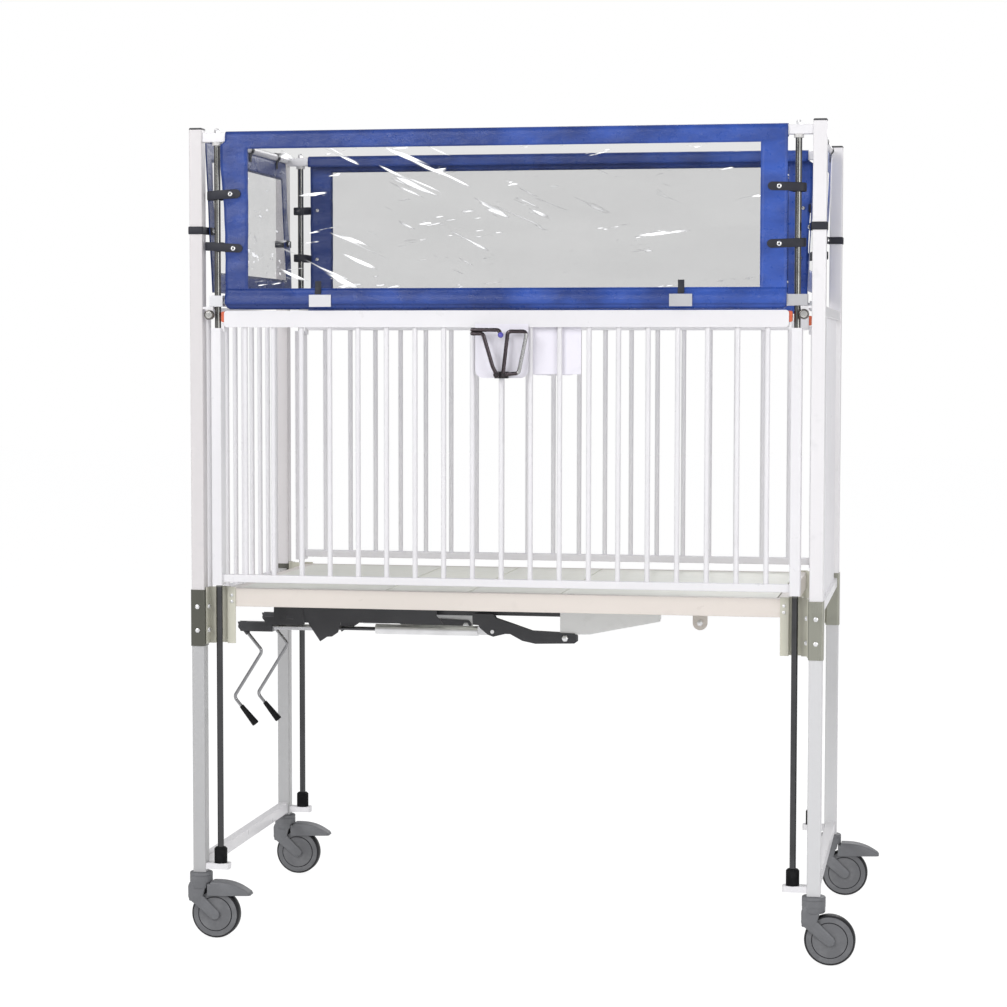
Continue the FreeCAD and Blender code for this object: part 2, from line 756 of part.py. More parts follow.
def side_frame():
    shapes = []
    for sx in (-1, 1):
        stile = post_tube(stile_x, stile_y, stile_wall, 3.0, stile_top - stile_bottom)
        stile.translate(vec(sx * rod_x, -post_y, stile_bottom))
        shapes.append(stile)
        for z in (stile_bottom, stile_top - bushing_height):
            bush = Part.Face(rounded_loop(stile_x - 2 * stile_wall, stile_y - 2 * stile_wall, 1.0))
            bush = bush.extrude(vec(0, 0, bushing_height))
            bush = bush.cut(rod(rod_radius + rod_fit, vec(0, 0, 0), vec(0, 0, bushing_height)))
            bush.translate(vec(sx * rod_x, -post_y, z))
            shapes.append(bush)
        inner = rod_x - stile_x / 2
        joint = box(side_rail_half, inner, -post_y - 9, -post_y + 9, stile_top - 10, side_top_rail_bottom + 11)
        shapes.append(joint if sx > 0 else joint.mirror(vec(0, 0, 0), vec(1, 0, 0)))
    y0 = -post_y - side_rail_depth / 2
    y1 = -post_y + side_rail_depth / 2
    z0 = side_top_rail_bottom
    z1 = z0 + side_top_rail_height
    rail = box(-side_rail_half, side_rail_half, y0, y1, z0, z1)
    ends = [e for e in rail.Edges if e.BoundBox.YLength > 1]
    rail = rail.makeFillet(side_top_rail_corner, ends)
    w = rail_wall + 0.5
    rail = rail.cut(box(-side_rail_half, side_rail_half, y0 + w, y1 - w, z0 + w, z1 - w))
    inner = rod_x - stile_x / 2
    low = square_bar(vec(-inner, -post_y, side_bottom_rail_bottom), vec(inner, -post_y, side_bottom_rail_bottom),
                     side_rail_depth, side_bottom_rail_height, rail_wall)
    return shapes + [rail, low]


def side_spindles():
    shapes = []
    low = side_bottom_rail_bottom + side_bottom_rail_height
    for i in range(side_spindle_count):
        x = (i - (side_spindle_count - 1) / 2) * side_spindle_pitch
        shapes.append(tube(spindle_radius, spindle_wall, vec(x, -post_y, low), vec(x, -post_y, side_top_rail_bottom)))
    return shapes


def side_plates():
    # latch backplate with its pivot block, and the card plate behind the spindles
    back = -post_y - side_rail_depth / 2
    front = back - plate_thickness
    backplate = box(latch_plate_left, latch_plate_right, front, back, latch_plate_bottom, latch_plate_top)
    lower = [e for e in backplate.Edges if e.BoundBox.YLength > 1 and e.BoundBox.ZMax < latch_plate_bottom + 1]
    backplate = backplate.makeFillet(latch_plate_corner, lower)
    block = box(left_pin_x - 8.6, right_pin_x + 8.9, front - 12, front, pin_z - 9, pin_z + 8)
    pins = []
    for x, y in ((left_pin_x, left_lever_y), (right_pin_x, right_lever_y)):
        pins.append(rod(lever_pin_radius, vec(x, front - 6, pin_z), vec(x, y - 6, pin_z)))
    block = block.fuse(pins)
    y = -post_y + spindle_radius
    card = box(card_left, card_right, y, y + 1.5, card_bottom, card_top)
    return [backplate, block, card]


def lever_eye(x, y):
    ring = rod(lever_eye_radius, vec(x, y - 3.5, pin_z), vec(x, y + 3.5, pin_z))
    return ring, rod(lever_pin_radius + running_fit, vec(x, y - 20, pin_z), vec(x, y + 20, pin_z))


def lever_left():
    # wire from the pin up the leg, out to the tip and doubled back to the ball
    y = left_lever_y
    x = left_pin_x
    eye, hole = lever_eye(x, y)
    low = pin_z + lever_grip_rise
    high = low + lever_strand
    tip = x - left_tip_shift
    leg = bent_rod([vec(x - 2.5, y, pin_z + 5), vec(x - left_knee_shift, y, pin_z + lever_knee_rise),
                    vec(x - left_shoulder_shift, y, low), vec(tip, y, low)], lever_bend, lever_wire)
    ball_centre = vec(x + ball_shift, y - (ball_radius - lever_wire), low - 3.5)
    arm = bent_rod([vec(tip, y, high), vec(x + ball_shift - 4, y, high), ball_centre], lever_bend, lever_wire)
    ends = [Part.makeSphere(lever_wire, vec(tip, y, z)) for z in (low, high)]
    return [eye.fuse([leg, arm, Part.makeSphere(ball_radius, ball_centre)] + ends).cut(hole)]


def lever_right():
    # closed wire loop that stands on its pin
    y = right_lever_y
    x = right_pin_x
    eye, hole = lever_eye(x, y)
    high = pin_z + right_rise
    path = [vec(x - 1.5, y, pin_z + 5), vec(x + right_near_shift, y, high), vec(x + right_far_shift, y, high),
            vec(x + right_foot_shift, y, pin_z + 4), vec(x + 5, y, pin_z + 1)]
    loop = bent_rod(path, lever_bend, lever_wire)
    return [eye.fuse(loop).cut(hole)]


def plunger(sx):
    w = rail_wall + 0.5
    half = side_rail_depth / 2 - w - 0.1
    z1 = side_top_rail_bottom + side_top_rail_height - w - 0.2
    x1 = side_rail_half + plunger_reach
    block = box(x1 - plunger_length, x1, -post_y - half, -post_y + half, z1 - plunger_height, z1)
    outer = [e for e in block.Edges if e.BoundBox.XMin > x1 - 0.01 and e.BoundBox.YLength > 1]
    block = block.makeFillet(4.0, outer)
    return [block if sx > 0 else block.mirror(vec(0, 0, 0), vec(1, 0, 0))]


# Vinyl enclosure, drawn for the near side

def enclosure_bar():
    y = -post_y
    return [rod(bar_radius, vec(-bar_half, y, bar_z), vec(bar_half, y, bar_z))]


def enclosure_clamps():
    shapes = []
    y = -post_y
    half = clamp_depth / 2
    for sx, width in ((-1, clamp_left_width), (1, clamp_right_width)):
        x = sx * rod_x
        block = box(x - width / 2, x + width / 2, y - half, y + half, clamp_bottom, clamp_bottom + clamp_height)
        inner = rod_x - width / 2
        if inner > bar_half + 0.1:
            block = block.fuse(rod(10, vec(sx * bar_half, y, bar_z), vec(sx * (inner + 1), y, bar_z)))
        block = block.cut(rod(rod_radius + rod_fit, vec(x, y, clamp_bottom), vec(x, y, clamp_bottom + clamp_height)))
        shapes.append(block)
    inner = bar_radius + soft_gap + vinyl + soft_gap
    for x0 in (clip_left, clip_right):
        face = box(x0, x0 + clip_width, y - inner - clip_shell, y - inner, bar_z - 15, bar_z + 15)
        z = bar_z - clip_rivet_drop
        seat = math.sqrt(bar_radius ** 2 - (clip_rivet_drop - clip_rivet_radius) ** 2)
        for x in (x0 + clip_rivet_inset, x0 + clip_width - clip_rivet_inset):
            face = face.fuse(rod(clip_rivet_radius, vec(x, y - inner, z), vec(x, y - seat, z)))
        shapes.append(face)
    return shapes


def vinyl_panel():
    # hem round the top rail and a sheet down to the front of the padded bar, closed outline in YZ
    half = top_rail_side / 2 + soft_gap
    y = -post_y
    zc = top_rail_bottom + top_rail_side / 2
    f0 = y - half
    f1 = f0 - vinyl
    low = y - bar_radius - soft_gap
    points = [(f1, zc + half + vinyl), (y + half + vinyl, zc + half + vinyl), (y + half + vinyl, zc - half - vinyl),
              (f0, zc - half - vinyl), (low, bar_z), (low - vinyl, bar_z), (f1, zc - half - vinyl)]
    x0 = -bar_half
    outline = Part.makePolygon([vec(x0, a, b) for a, b in points + [points[0]]])
    sheet = Part.Face(outline).extrude(vec(2 * bar_half, 0, 0))
    hole = box(x0, -x0, y - half, y + half, zc - half, zc + half)
    return [sheet.cut(hole)]


def end_vinyl_panels():
    # hung below the end tube, leaning a little inward toward the foot
    shapes = []
    top_x = end_tube_x - vinyl / 2
    low_x = top_x - end_vinyl_lean
    w = end_vinyl_half
    for sx in (-1, 1):
        points = [vec(sx * top_x, -w, end_vinyl_top), vec(sx * top_x, w, end_vinyl_top),
                  vec(sx * low_x, w, end_vinyl_bottom), vec(sx * low_x, -w, end_vinyl_bottom)]
        face = Part.Face(Part.makePolygon(points + [points[0]]))
        shapes.append(face.extrude(vec(sx * vinyl, 0, 0)))
    return shapes


# Castors, drawn about the stem axis

def castor_fork(with_pedal):
    w = wheel_width / 2 + wheel_side_gap
    hood = rod(hood_radius, vec(0, 0, hood_bottom), vec(0, 0, hood_top))
    hood = hood.makeFillet(3.0, [e for e in hood.Edges if e.BoundBox.ZMin > hood_top - 0.01])
    side = plate([(-20, hood_top - 8), (-27, 118), (-20, 96), (4, 70), (28, 48), (44, 44), (57, 54), (58, 72),
                  (44, 96), (34, 130), (26, hood_top - 8)], -w - cheek_thickness, w + cheek_thickness)
    body = hood.fuse(side)
    gap = rod(wheel_radius + 3, vec(trail, -w, wheel_radius), vec(trail, w, wheel_radius))
    body = body.cut(gap)
    if with_pedal:
        body = body.cut(box(17, 60, -pedal_half - 0.5, pedal_half + 0.5, 124, 157))
    reach = w + cheek_thickness + 1
    axle = rod(axle_radius, vec(trail, -reach, wheel_radius), vec(trail, reach, wheel_radius))
    stem = rod(stem_radius, vec(0, 0, hood_top - 1), vec(0, 0, post_bottom + stem_height))
    shapes = [body.fuse([axle, stem])]
    if with_pedal:
        pin = rod(2.5, vec(pedal_pivot_x, -pedal_half - 1, pedal_pivot_z), vec(pedal_pivot_x, pedal_half + 1, pedal_pivot_z))
        shapes = [shapes[0].fuse(pin)]
    return shapes


def castor_wheel():
    # grey centre with a groove round its cover disc, dark tread on the rim
    w = wheel_width / 2
    r = wheel_radius - tread_thickness
    disc = 0.68 * wheel_radius
    bore = axle_radius + running_fit
    profile = [(bore, -w), (disc, -w + 1), (disc, -w + 4), (disc + 2, -w + 4), (disc + 2, -w + 2), (r - 1, -w + 2),
               (r, -w + 3)]
    profile = profile + [(a, -b) for a, b in reversed(profile)]
    centre = revolved(profile)
    q = wheel_radius
    tread = [(r, -w + 3), (q - 2, -w + 3.5), (q, -w + 7), (q, w - 7), (q - 2, w - 3.5), (r, w - 3)]
    return [centre, revolved(tread)]


def revolved(profile):
    wire = Part.makePolygon([vec(trail + a, b, wheel_radius) for a, b in profile + [profile[0]]])
    return Part.Face(wire).revolve(vec(trail, 0, wheel_radius), vec(0, 1, 0), 360)


def castor_pedal():
    outline = [(22, 151), (60, 150), (96, 140), (120, 126), (pedal_reach, 117), (pedal_reach - 2, 112), (105, 119),
               (80, 131), (50, 135), (22, 135)]
    wedge = plate(outline, -pedal_half, pedal_half)
    hole = rod(2.5 + running_fit, vec(pedal_pivot_x, -40, pedal_pivot_z), vec(pedal_pivot_x, 40, pedal_pivot_z))
    return [wedge.cut(hole)]


def at(shapes, x, y):
    moved = []
    for shape in shapes:
        copy = shape.copy()
        copy.translate(vec(x, y, 0))
        moved.append(copy)
    return moved


front_crank = (-screw_y, 86.0, 190.0, 23.0)
rear_crank = (screw_y, 96.0, 212.0, 25.0)

os.makedirs("parts", exist_ok=True)

write("corner_posts", corner_posts())
write("post_caps", post_caps())
write("post_sleeves", post_sleeves())
write("frame_rails", frame_rails())
write("end_panel_spindles", end_panel_spindles())
write("rod_brackets", rod_brackets())
write("guide_rods", guide_rods())
write("rod_bumpers", rod_bumpers())
write("deck_corner_brackets", deck_corner_brackets())
write("deck_frame_rails", deck_frame_rails())
write("seat_pan", seat_pan())
write("backrest_pan", backrest_pan())
write("thigh_pan", thigh_pan())
write("foot_pan", foot_pan())
write("screw_hangers", screw_hangers())
write("crank_housings", crank_housings())
write("front_screw_shaft", screw_shaft(-screw_y, housing_right_front, front_thread_end))
write("rear_screw_shaft", screw_shaft(screw_y, housing_right_rear, rear_thread_end))
write("backrest_screw_tube", screw_tube(-screw_y, front_tube_start, backrest_link_pin))
write("thigh_screw_tube", screw_tube(screw_y, rear_tube_start, thigh_link_pin))
write("backrest_link", backrest_link())
write("thigh_link", thigh_link())
for side, crank in (("front", front_crank), ("rear", rear_crank)):
    write(side + "_crank_head", crank_head(crank[0]))
    write(side + "_crank_handle", crank_handle(*crank))
    write(side + "_crank_grip", crank_grip(*crank))

side_nodes = (("side_frame", side_frame()), ("side_spindles", side_spindles()), ("side_plates", side_plates()),
              ("latch_lever_left", lever_left()), ("latch_lever_right", lever_right()),
              ("plunger_left", plunger(-1)), ("plunger_right", plunger(1)),
              ("enclosure_bar", enclosure_bar()), ("enclosure_clamps", enclosure_clamps()),
              ("vinyl_panel", vinyl_panel()))
for name, shapes in side_nodes:
    write("front_" + name, shapes)
    write("back_" + name, [turned(s) for s in shapes])
write("end_vinyl_panels", end_vinyl_panels())

for name, sx, sy, with_pedal in (("front_left", -1, -1, True), ("front_right", 1, -1, False),
                                 ("back_left", -1, 1, True), ("back_right", 1, 1, True)):
    x = sx * post_x
    y = sy * post_y
    write(name + "_castor_fork", at(castor_fork(with_pedal), x, y))
    write(name + "_castor_wheel", at(castor_wheel(), x, y))
    if with_pedal:
        write(name + "_castor_pedal", at(castor_pedal(), x, y))
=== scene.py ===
import math
import bpy
import bmesh
import numpy as np
from mathutils import Matrix


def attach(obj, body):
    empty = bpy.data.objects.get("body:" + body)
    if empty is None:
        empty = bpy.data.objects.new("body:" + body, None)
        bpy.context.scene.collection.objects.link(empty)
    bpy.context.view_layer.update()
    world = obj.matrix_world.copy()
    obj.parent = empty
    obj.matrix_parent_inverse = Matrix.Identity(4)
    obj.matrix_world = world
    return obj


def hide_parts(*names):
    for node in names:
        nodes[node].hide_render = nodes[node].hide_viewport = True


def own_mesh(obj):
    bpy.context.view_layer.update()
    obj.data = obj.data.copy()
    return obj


# Pediatric hospital crib. Metres, +X along the crib, -Y towards the camera, +Z up.
# Places are given from the middle of the four posts; middle moves them into the frame's own X.

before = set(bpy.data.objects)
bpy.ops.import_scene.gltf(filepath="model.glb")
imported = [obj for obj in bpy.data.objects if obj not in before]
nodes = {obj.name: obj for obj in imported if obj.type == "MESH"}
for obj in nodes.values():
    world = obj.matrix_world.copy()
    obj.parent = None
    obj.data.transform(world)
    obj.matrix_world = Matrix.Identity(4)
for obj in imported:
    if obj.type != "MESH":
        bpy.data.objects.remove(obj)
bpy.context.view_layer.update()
middle = -0.057075
print("frame loaded:", len(nodes), "nodes")

# Places on the CAD nodes where one finish ends and another starts; knobRing and ballReach are squared
spot = {
    "legTop": 0.80, "deckLine": 0.9, "rodNutLow": 2.0115, "threadStart": -0.531, "panLow": 0.8699,
    "blockFace": 0.41705, "pivotTop": 1.4485, "knobX": 0.744, "knobZ": 1.588, "knobRing": 0.0000723,
    "ballX": 0.0065, "ballY": 0.4492, "ballZ": 1.5375, "ballReach": 0.0000536, "loopX": 0.047,
    "postX": 0.779, "trail": 0.040, "axleZ": 0.0625, "tread": 0.0573, "groove": (0.0423, 0.0448),
}


# Shader maths as plain expressions

class Wire:
    # a socket that can be added, multiplied and compared like a number
    def __init__(self, look, socket):
        self.look = look
        self.socket = socket

    def __add__(self, other):
        return self.look.math("ADD", self, other)

    def __radd__(self, other):
        return self.look.math("ADD", other, self)

    def __sub__(self, other):
        return self.look.math("SUBTRACT", self, other)

    def __rsub__(self, other):
        return self.look.math("SUBTRACT", other, self)

    def __mul__(self, other):
        return self.look.math("MULTIPLY", self, other)

    def __rmul__(self, other):
        return self.look.math("MULTIPLY", other, self)

    def __gt__(self, other):
        return self.look.math("GREATER_THAN", self, other)

    def __lt__(self, other):
        return self.look.math("LESS_THAN", self, other)

    def __abs__(self):
        return self.look.math("ABSOLUTE", self, 0.0)


class Look:
    # a material being put together
    def __init__(self, name):
        self.material = bpy.data.materials.new(name)
        self.material.use_nodes = True
        self.tree = self.material.node_tree
        self.tree.nodes.clear()
        self.output = self.tree.nodes.new("ShaderNodeOutputMaterial")
        self.place = Wire(self, self.node("ShaderNodeTexCoord").outputs["Object"])

    def node(self, kind, settings=None, inputs=None):
        made = self.tree.nodes.new(kind)
        for key, value in (settings or {}).items():
            setattr(made, key, value)
        for key, value in (inputs or {}).items():
            if isinstance(value, Wire):
                self.tree.links.new(value.socket, made.inputs[key])
            else:
                made.inputs[key].default_value = value
        return made

    def math(self, operation, a, b):
        made = self.node("ShaderNodeMath", {"operation": operation}, {0: a, 1: b})
        return Wire(self, made.outputs[0])

    def axis(self, letter):
        parts = self.node("ShaderNodeSeparateXYZ", {}, {0: self.place})
        return Wire(self, parts.outputs[letter])

    def uv(self, letter):
        where = Wire(self, self.node("ShaderNodeUVMap", {"uv_map": "flat"}).outputs[0])
        parts = self.node("ShaderNodeSeparateXYZ", {}, {0: where})
        return Wire(self, parts.outputs[letter])

    def noise(self, scale, detail=2.0, stretch=(1.0, 1.0, 1.0), roughness=0.5, lean=0.0):
        leaning = self.node("ShaderNodeMapping", {}, {"Vector": self.place, "Rotation": (0.0, lean, 0.0)})
        turned = Wire(self, leaning.outputs[0])
        where = self.node("ShaderNodeMapping", {}, {"Vector": turned, "Scale": stretch})
        made = self.node("ShaderNodeTexNoise", {}, {"Vector": Wire(self, where.outputs[0]), "Scale": scale,
                                                    "Detail": detail, "Roughness": roughness})
        return Wire(self, made.outputs["Fac"])

    def between(self, value, low, high, a=0.0, b=1.0):
        made = self.node("ShaderNodeMapRange", {"clamp": True},
                         {"Value": value, "From Min": low, "From Max": high, "To Min": a, "To Max": b})
        return Wire(self, made.outputs[0])

    def blend(self, factor, a, b):
        colour = [(*c, 1.0) if isinstance(c, tuple) else c for c in (a, b)]
        made = self.node("ShaderNodeMix", {"data_type": "RGBA"}, {0: factor, 6: colour[0], 7: colour[1]})
        return Wire(self, made.outputs[2])

    def bump(self, height, distance, strength=1.0):
        made = self.node("ShaderNodeBump", {},
                         {"Height": height, "Distance": distance, "Strength": strength})
        return Wire(self, made.outputs[0])

    def finish(self, colour, roughness, metallic=0.0, normal=None, **plain):
        inputs = {"Base Color": (*colour, 1.0) if isinstance(colour, tuple) else colour,
                  "Roughness": roughness, "Metallic": metallic}
        if normal is not None:
            inputs["Normal"] = normal
        inputs.update({key.replace("_", " "): value for key, value in plain.items()})
        shader = self.node("ShaderNodeBsdfPrincipled", {}, inputs)
        self.tree.links.new(shader.outputs[0], self.output.inputs[0])
        return self.material


def paintLook(name, colour, worn, roughness=0.32):
    # sprayed enamel: faint orange peel, slow tone changes and a few duller patches
    look = Look(name)
    tone = look.noise(2.2, 3.0)
    patch = look.noise(26.0, 4.0)
    peel = look.noise(420.0, 2.0)
    shade = look.blend(look.between(tone, 0.35, 0.68), colour, worn)
    shade = look.blend(look.between(patch, 0.60, 0.80) * 0.35, shade, tuple(c * 0.9 for c in worn))
    rough = look.between(patch, 0.3, 0.8, roughness - 0.05, roughness + 0.12)
    return look.finish(shade, rough, 0.0, look.bump(peel, 0.00012), Coat_Weight=0.15)


def metalLook(name, colour, roughness, grain=(1.0, 1.0, 1.0), grainScale=60.0, dirt=0.15,
              leftShadeShare=1.0):
    # bare or plated metal with fine lines along the piece, and painted shade that darkens it towards the left
    # end of the crib
    look = Look(name)
    lines = look.noise(grainScale, 3.0, grain, 0.6)
    stain = look.noise(18.0, 3.0)
    dull = tuple(c * 0.72 for c in colour)
    shade = look.blend(look.between(stain, 0.45, 0.75) * dirt * 3.0, colour, dull)
    if leftShadeShare < 1.0:
        # painted shade: the colour is darkened towards the left end of the crib
        left = look.between(look.axis("X"), 0.5, -0.6)
        shade = look.blend(left, shade, tuple(c * leftShadeShare for c in colour))
    rough = look.between(lines, 0.3, 0.7, roughness * 0.8, roughness * 1.35)
    return look.finish(shade, rough, 1.0, look.bump(lines, 0.00008))


def plasticLook(name, colour, roughness=0.5, speckle=0.12, shine=0.5):
    # moulded plastic: fine spark-eroded grain and scuffs
    look = Look(name)
    grain = look.noise(900.0, 2.0)
    scuff = look.noise(34.0, 5.0)
    worn = tuple(min(1.0, c * (1.0 + speckle) + 0.01) for c in colour)
    shade = look.blend(look.between(scuff, 0.5, 0.72), colour, worn)
    rough = look.between(scuff, 0.3, 0.8, roughness - 0.06, roughness + 0.1)
    return look.finish(shade, rough, 0.0, look.bump(grain, 0.0001), Specular_IOR_Level=shine)


def vinylLook(name, colour, blotchAndShadeBlue):
    # coated cloth: weave print through the coat, soft creases, deeper blue in blotches along the crease
    # noise, and painted shade that deepens the blue towards the left end
    look = Look(name)
    u = look.uv(0)
    v = look.uv(1)
    weave = look.math("SINE", u * 4200.0, 0.0) * look.math("SINE", v * 4200.0, 0.0)
    crease = look.noise(9.0, 4.0, (1.0, 1.0, 1.8))
    fine = look.noise(70.0, 3.0)
    # painted shade: deeper blue towards the left end
    end = look.between(look.axis("X"), -0.75, 0.55, 0.85, 0.0)
    shade = look.blend(look.between(crease + end * 0.35, 0.35, 0.75), colour, blotchAndShadeBlue)
    rough = look.between(fine, 0.3, 0.7, 0.25, 0.38)
    height = weave * 0.05 + crease * 5.0 + fine * 0.3
    return look.finish(shade, rough, 0.0, look.bump(height, 0.0014, 0.9), Specular_IOR_Level=0.42)


def filmLook(name):
    # clear soft vinyl: a faint grey tint, and white glints where wrinkles run together, painted in as
    # highlights that also glow faintly
    look = Look(name)
    patch = look.noise(3.1, 2.0, (1.0, 1.0, 1.6))
    flow = look.noise(7.5, 4.0, (0.5, 1.0, 1.5))
    fold = look.noise(30.0, 2.0, (0.13, 0.6, 1.5), 0.5, -0.42)
    dash = look.noise(42.0, 3.0, (0.22, 0.6, 1.6), 0.55, 0.12)
    left = look.between(abs(look.axis("X") - middle + 0.42), 0.30, 0.05)
    low = look.between(look.axis("Z"), 1.72, 1.66)
    # painted highlights: white streaks and flecks, more of them towards the left and low down
    streak = look.between(fold, 0.645, 0.68) * look.between(patch + left * 0.16, 0.54, 0.60)
    fleck = look.between(dash, 0.665, 0.70) * look.between(patch + low * 0.12 + left * 0.08, 0.49, 0.58)
    paintedGlint = look.math("MAXIMUM", streak, fleck)
    tint = look.blend(paintedGlint, (0.03, 0.031, 0.033), (0.95, 0.96, 0.97))
    alpha = look.between(flow, 0.35, 0.7, 0.112, 0.128) + paintedGlint * 0.6
    # the painted highlights glow faintly
    glow = look.blend(paintedGlint, (0.0, 0.0, 0.0), (1.0, 1.0, 1.0))
    return look.finish(tint, 0.2, 0.0, look.bump(flow + dash * 0.2, 0.01, 0.5), Alpha=alpha,
                       Specular_IOR_Level=0.2, Emission_Color=glow, Emission_Strength=0.5)


paint = {
    "white": paintLook("white enamel", (0.80, 0.79, 0.81), (0.75, 0.74, 0.76)),
    "cream": paintLook("cream enamel", (0.73, 0.67, 0.62), (0.68, 0.63, 0.58)),
    "bracket": paintLook("bracket enamel", (0.61, 0.60, 0.50), (0.55, 0.54, 0.46)),
    "deck": paintLook("deck enamel", (0.82, 0.82, 0.74), (0.75, 0.76, 0.69), 0.4),
    "dark": paintLook("dark enamel", (0.028, 0.028, 0.033), (0.045, 0.045, 0.05), 0.42),
}
metal = {
    "sleeve": metalLook("brushed sleeve", (0.36, 0.36, 0.31), 0.3, (1.0, 1.0, 0.03), 240.0,
                        leftShadeShare=0.36),
    "bright": metalLook("bright steel", (0.80, 0.80, 0.81), 0.36, (0.05, 1.0, 1.0), 160.0),
    "handle": metalLook("handle steel", (0.32, 0.32, 0.33), 0.26, (1.0, 1.0, 0.05), 160.0),
    "chrome": metalLook("bright chrome", (0.85, 0.85, 0.84), 0.16, (1.0, 1.0, 1.0), 80.0, 0.08),
    "clamp": metalLook("satin clamp", (0.60, 0.60, 0.62), 0.38, (1.0, 1.0, 1.0), 300.0, 0.1),
}
plastic = {
    "cap": plasticLook("cap plastic", (0.06, 0.06, 0.065)),
    "rubber": plasticLook("bumper rubber", (0.005, 0.005, 0.006), 0.62, shine=0.12),
    "grip": plasticLook("grip plastic", (0.005, 0.005, 0.006), 0.5, shine=0.15),
    "orange": plasticLook("orange plastic", (0.62, 0.12, 0.05), 0.35),
    "hood": plasticLook("castor plastic", (0.15, 0.153, 0.162), 0.5),
    "strap": plasticLook("strap webbing", (0.010, 0.011, 0.020), 0.6),
}
soft = {
    "vinyl": vinylLook("blue vinyl", (0.030, 0.090, 0.42), (0.014, 0.040, 0.20)),
    "film": filmLook("clear vinyl"),
}


def postLook():
    # white posts with a greyer coat on the legs under the sleeves, both darker towards the left end as
    # painted shade
    look = Look("post enamel")
    leg = look.axis("Z") < spot["legTop"]
    tone = look.noise(2.2, 3.0)
    patch = look.noise(26.0, 4.0)
    shade = look.blend(look.between(tone, 0.35, 0.68), (0.80, 0.785, 0.80), (0.75, 0.735, 0.75))
    # painted shade: upper posts and legs darker towards the left end
    right = look.between(look.axis("X"), -0.6, 0.5)
    shade = look.blend(right, (0.66, 0.635, 0.64), shade)
    shade = look.blend(leg, shade, look.blend(right, (0.46, 0.46, 0.465), (0.63, 0.63, 0.64)))
    shade = look.blend(look.between(patch, 0.6, 0.8) * 0.3, shade, (0.55, 0.55, 0.56))
    rough = look.between(patch, 0.3, 0.8, 0.28, 0.42)
    return look.finish(shade, rough, 0.0, look.bump(look.noise(420.0), 0.00012), Coat_Weight=0.15)


def rodLook():
    # ground and plated rods: painted shade makes them darker and duller under the deck; painted nut at the
    # top
    look = Look("guide rod")
    z = look.axis("Z")
    lines = look.noise(120.0, 3.0, (1.0, 1.0, 0.05), 0.6)
    # painted shade: darker below the deck line
    shade = look.blend(z > spot["deckLine"], (0.075, 0.075, 0.078), (0.20, 0.20, 0.19))
    shade = look.blend(look.between(look.noise(18.0, 3.0), 0.45, 0.75) * 0.5, shade, (0.05, 0.05, 0.05))
    nut = z > spot["rodNutLow"]
    shade = look.blend(nut, shade, (0.62, 0.61, 0.60))
    rough = look.between(lines, 0.3, 0.7, 0.14, 0.26)
    return look.finish(shade, rough + nut * 0.2, 1.0 - nut, look.bump(lines, 0.00008))


def threadLook():
    # a threaded length beyond the smooth shaft
    look = Look("screw shaft")
    x = look.axis("X")
    threaded = x > (spot["threadStart"] + middle)
    lines = look.math("SINE", x * 4200.0, 0.0)
    shade = look.blend(threaded, (0.55, 0.55, 0.57), (0.16, 0.16, 0.17))
    rough = look.between(look.noise(60.0), 0.3, 0.7, 0.24, 0.4)
    return look.finish(shade, rough, 1.0, look.bump(lines * threaded, 0.0008))


def bracketLook():
    # white strike arms and foot plates; the knobs in front of them are plated, with a dark ring painted round
    # their edge as shade
    look = Look("strike paint and chrome")
    knob = abs(look.axis("Y")) > spot["blockFace"]
    x = abs(look.axis("X") - middle) - spot["knobX"]
    z = look.axis("Z") - spot["knobZ"]
    # painted shade: the knob is dark outside its bright middle
    ring = (x * x + z * z) > spot["knobRing"]
    plated = look.blend(ring, (0.80, 0.79, 0.76), (0.16, 0.15, 0.14))
    shade = look.blend(knob, (0.79, 0.78, 0.80), plated)
    rough = look.between(look.noise(60.0), 0.3, 0.7, 0.2, 0.34)
    return look.finish(shade, rough - knob * 0.1, knob, look.bump(look.noise(420.0), 0.0001))


def panLook(name, below):
    # deck enamel on the trays, and a lighter grey on the gussets under them: partly their own light grey,
    # partly painted light that lifts the shade under the deck
    look = Look(name)
    low = look.axis("Z") < below
    tone = look.noise(3.0, 3.0)
    wear = look.noise(30.0, 4.0)
    deck = look.blend(look.between(tone, 0.35, 0.7), (0.82, 0.82, 0.74), (0.76, 0.77, 0.70))
    # painted light: the gussets are made paler than their own grey to lift the shade under the deck
    shade = look.blend(low, deck, (0.86, 0.86, 0.86))
    shade = look.blend(look.between(wear, 0.58, 0.8) * 0.25, shade, (0.6, 0.6, 0.57))
    rough = look.between(wear, 0.3, 0.8, 0.36, 0.5)
    return look.finish(shade, rough, 0.0, look.bump(look.noise(380.0), 0.00014))


def leverLook():
    # dark plated wire, brighter on the outer run of the loop, with a violet ball on one lever
    look = Look("latch lever")
    x = look.axis("X") - middle
    y = abs(look.axis("Y")) - spot["ballY"]
    z = look.axis("Z") - spot["ballZ"]
    side = abs(x) - spot["ballX"]
    ball = (side * side + y * y + z * z) < spot["ballReach"]
    outer = (abs(x) > spot["loopX"]) * (y > -0.0125) * (y < -0.006) * (z < 0.004)
    shade = look.blend(outer, (0.075, 0.062, 0.068), (0.42, 0.42, 0.42))
    shade = look.blend(ball, shade, (0.09, 0.08, 0.42))
    rough = look.between(look.noise(60.0), 0.3, 0.7, 0.2, 0.3)
    return look.finish(shade, rough, 1.0 - ball, look.bump(look.noise(300.0), 0.00006))


def plateLook():
    # white plates with the black pivot block
    look = Look("latch plates")
    y = abs(look.axis("Y"))
    z = look.axis("Z")
    block = (y > spot["blockFace"]) * (z < spot["pivotTop"])
    shade = look.blend(block, (0.80, 0.78, 0.85), (0.02, 0.02, 0.022))
    wear = look.noise(24.0, 4.0)
    shade = look.blend(look.between(wear, 0.6, 0.8) * 0.3, shade, (0.60, 0.60, 0.63))
    rough = look.between(wear, 0.3, 0.8, 0.3, 0.42)
    return look.finish(shade, rough, 0.0, look.bump(look.noise(420.0), 0.0001))


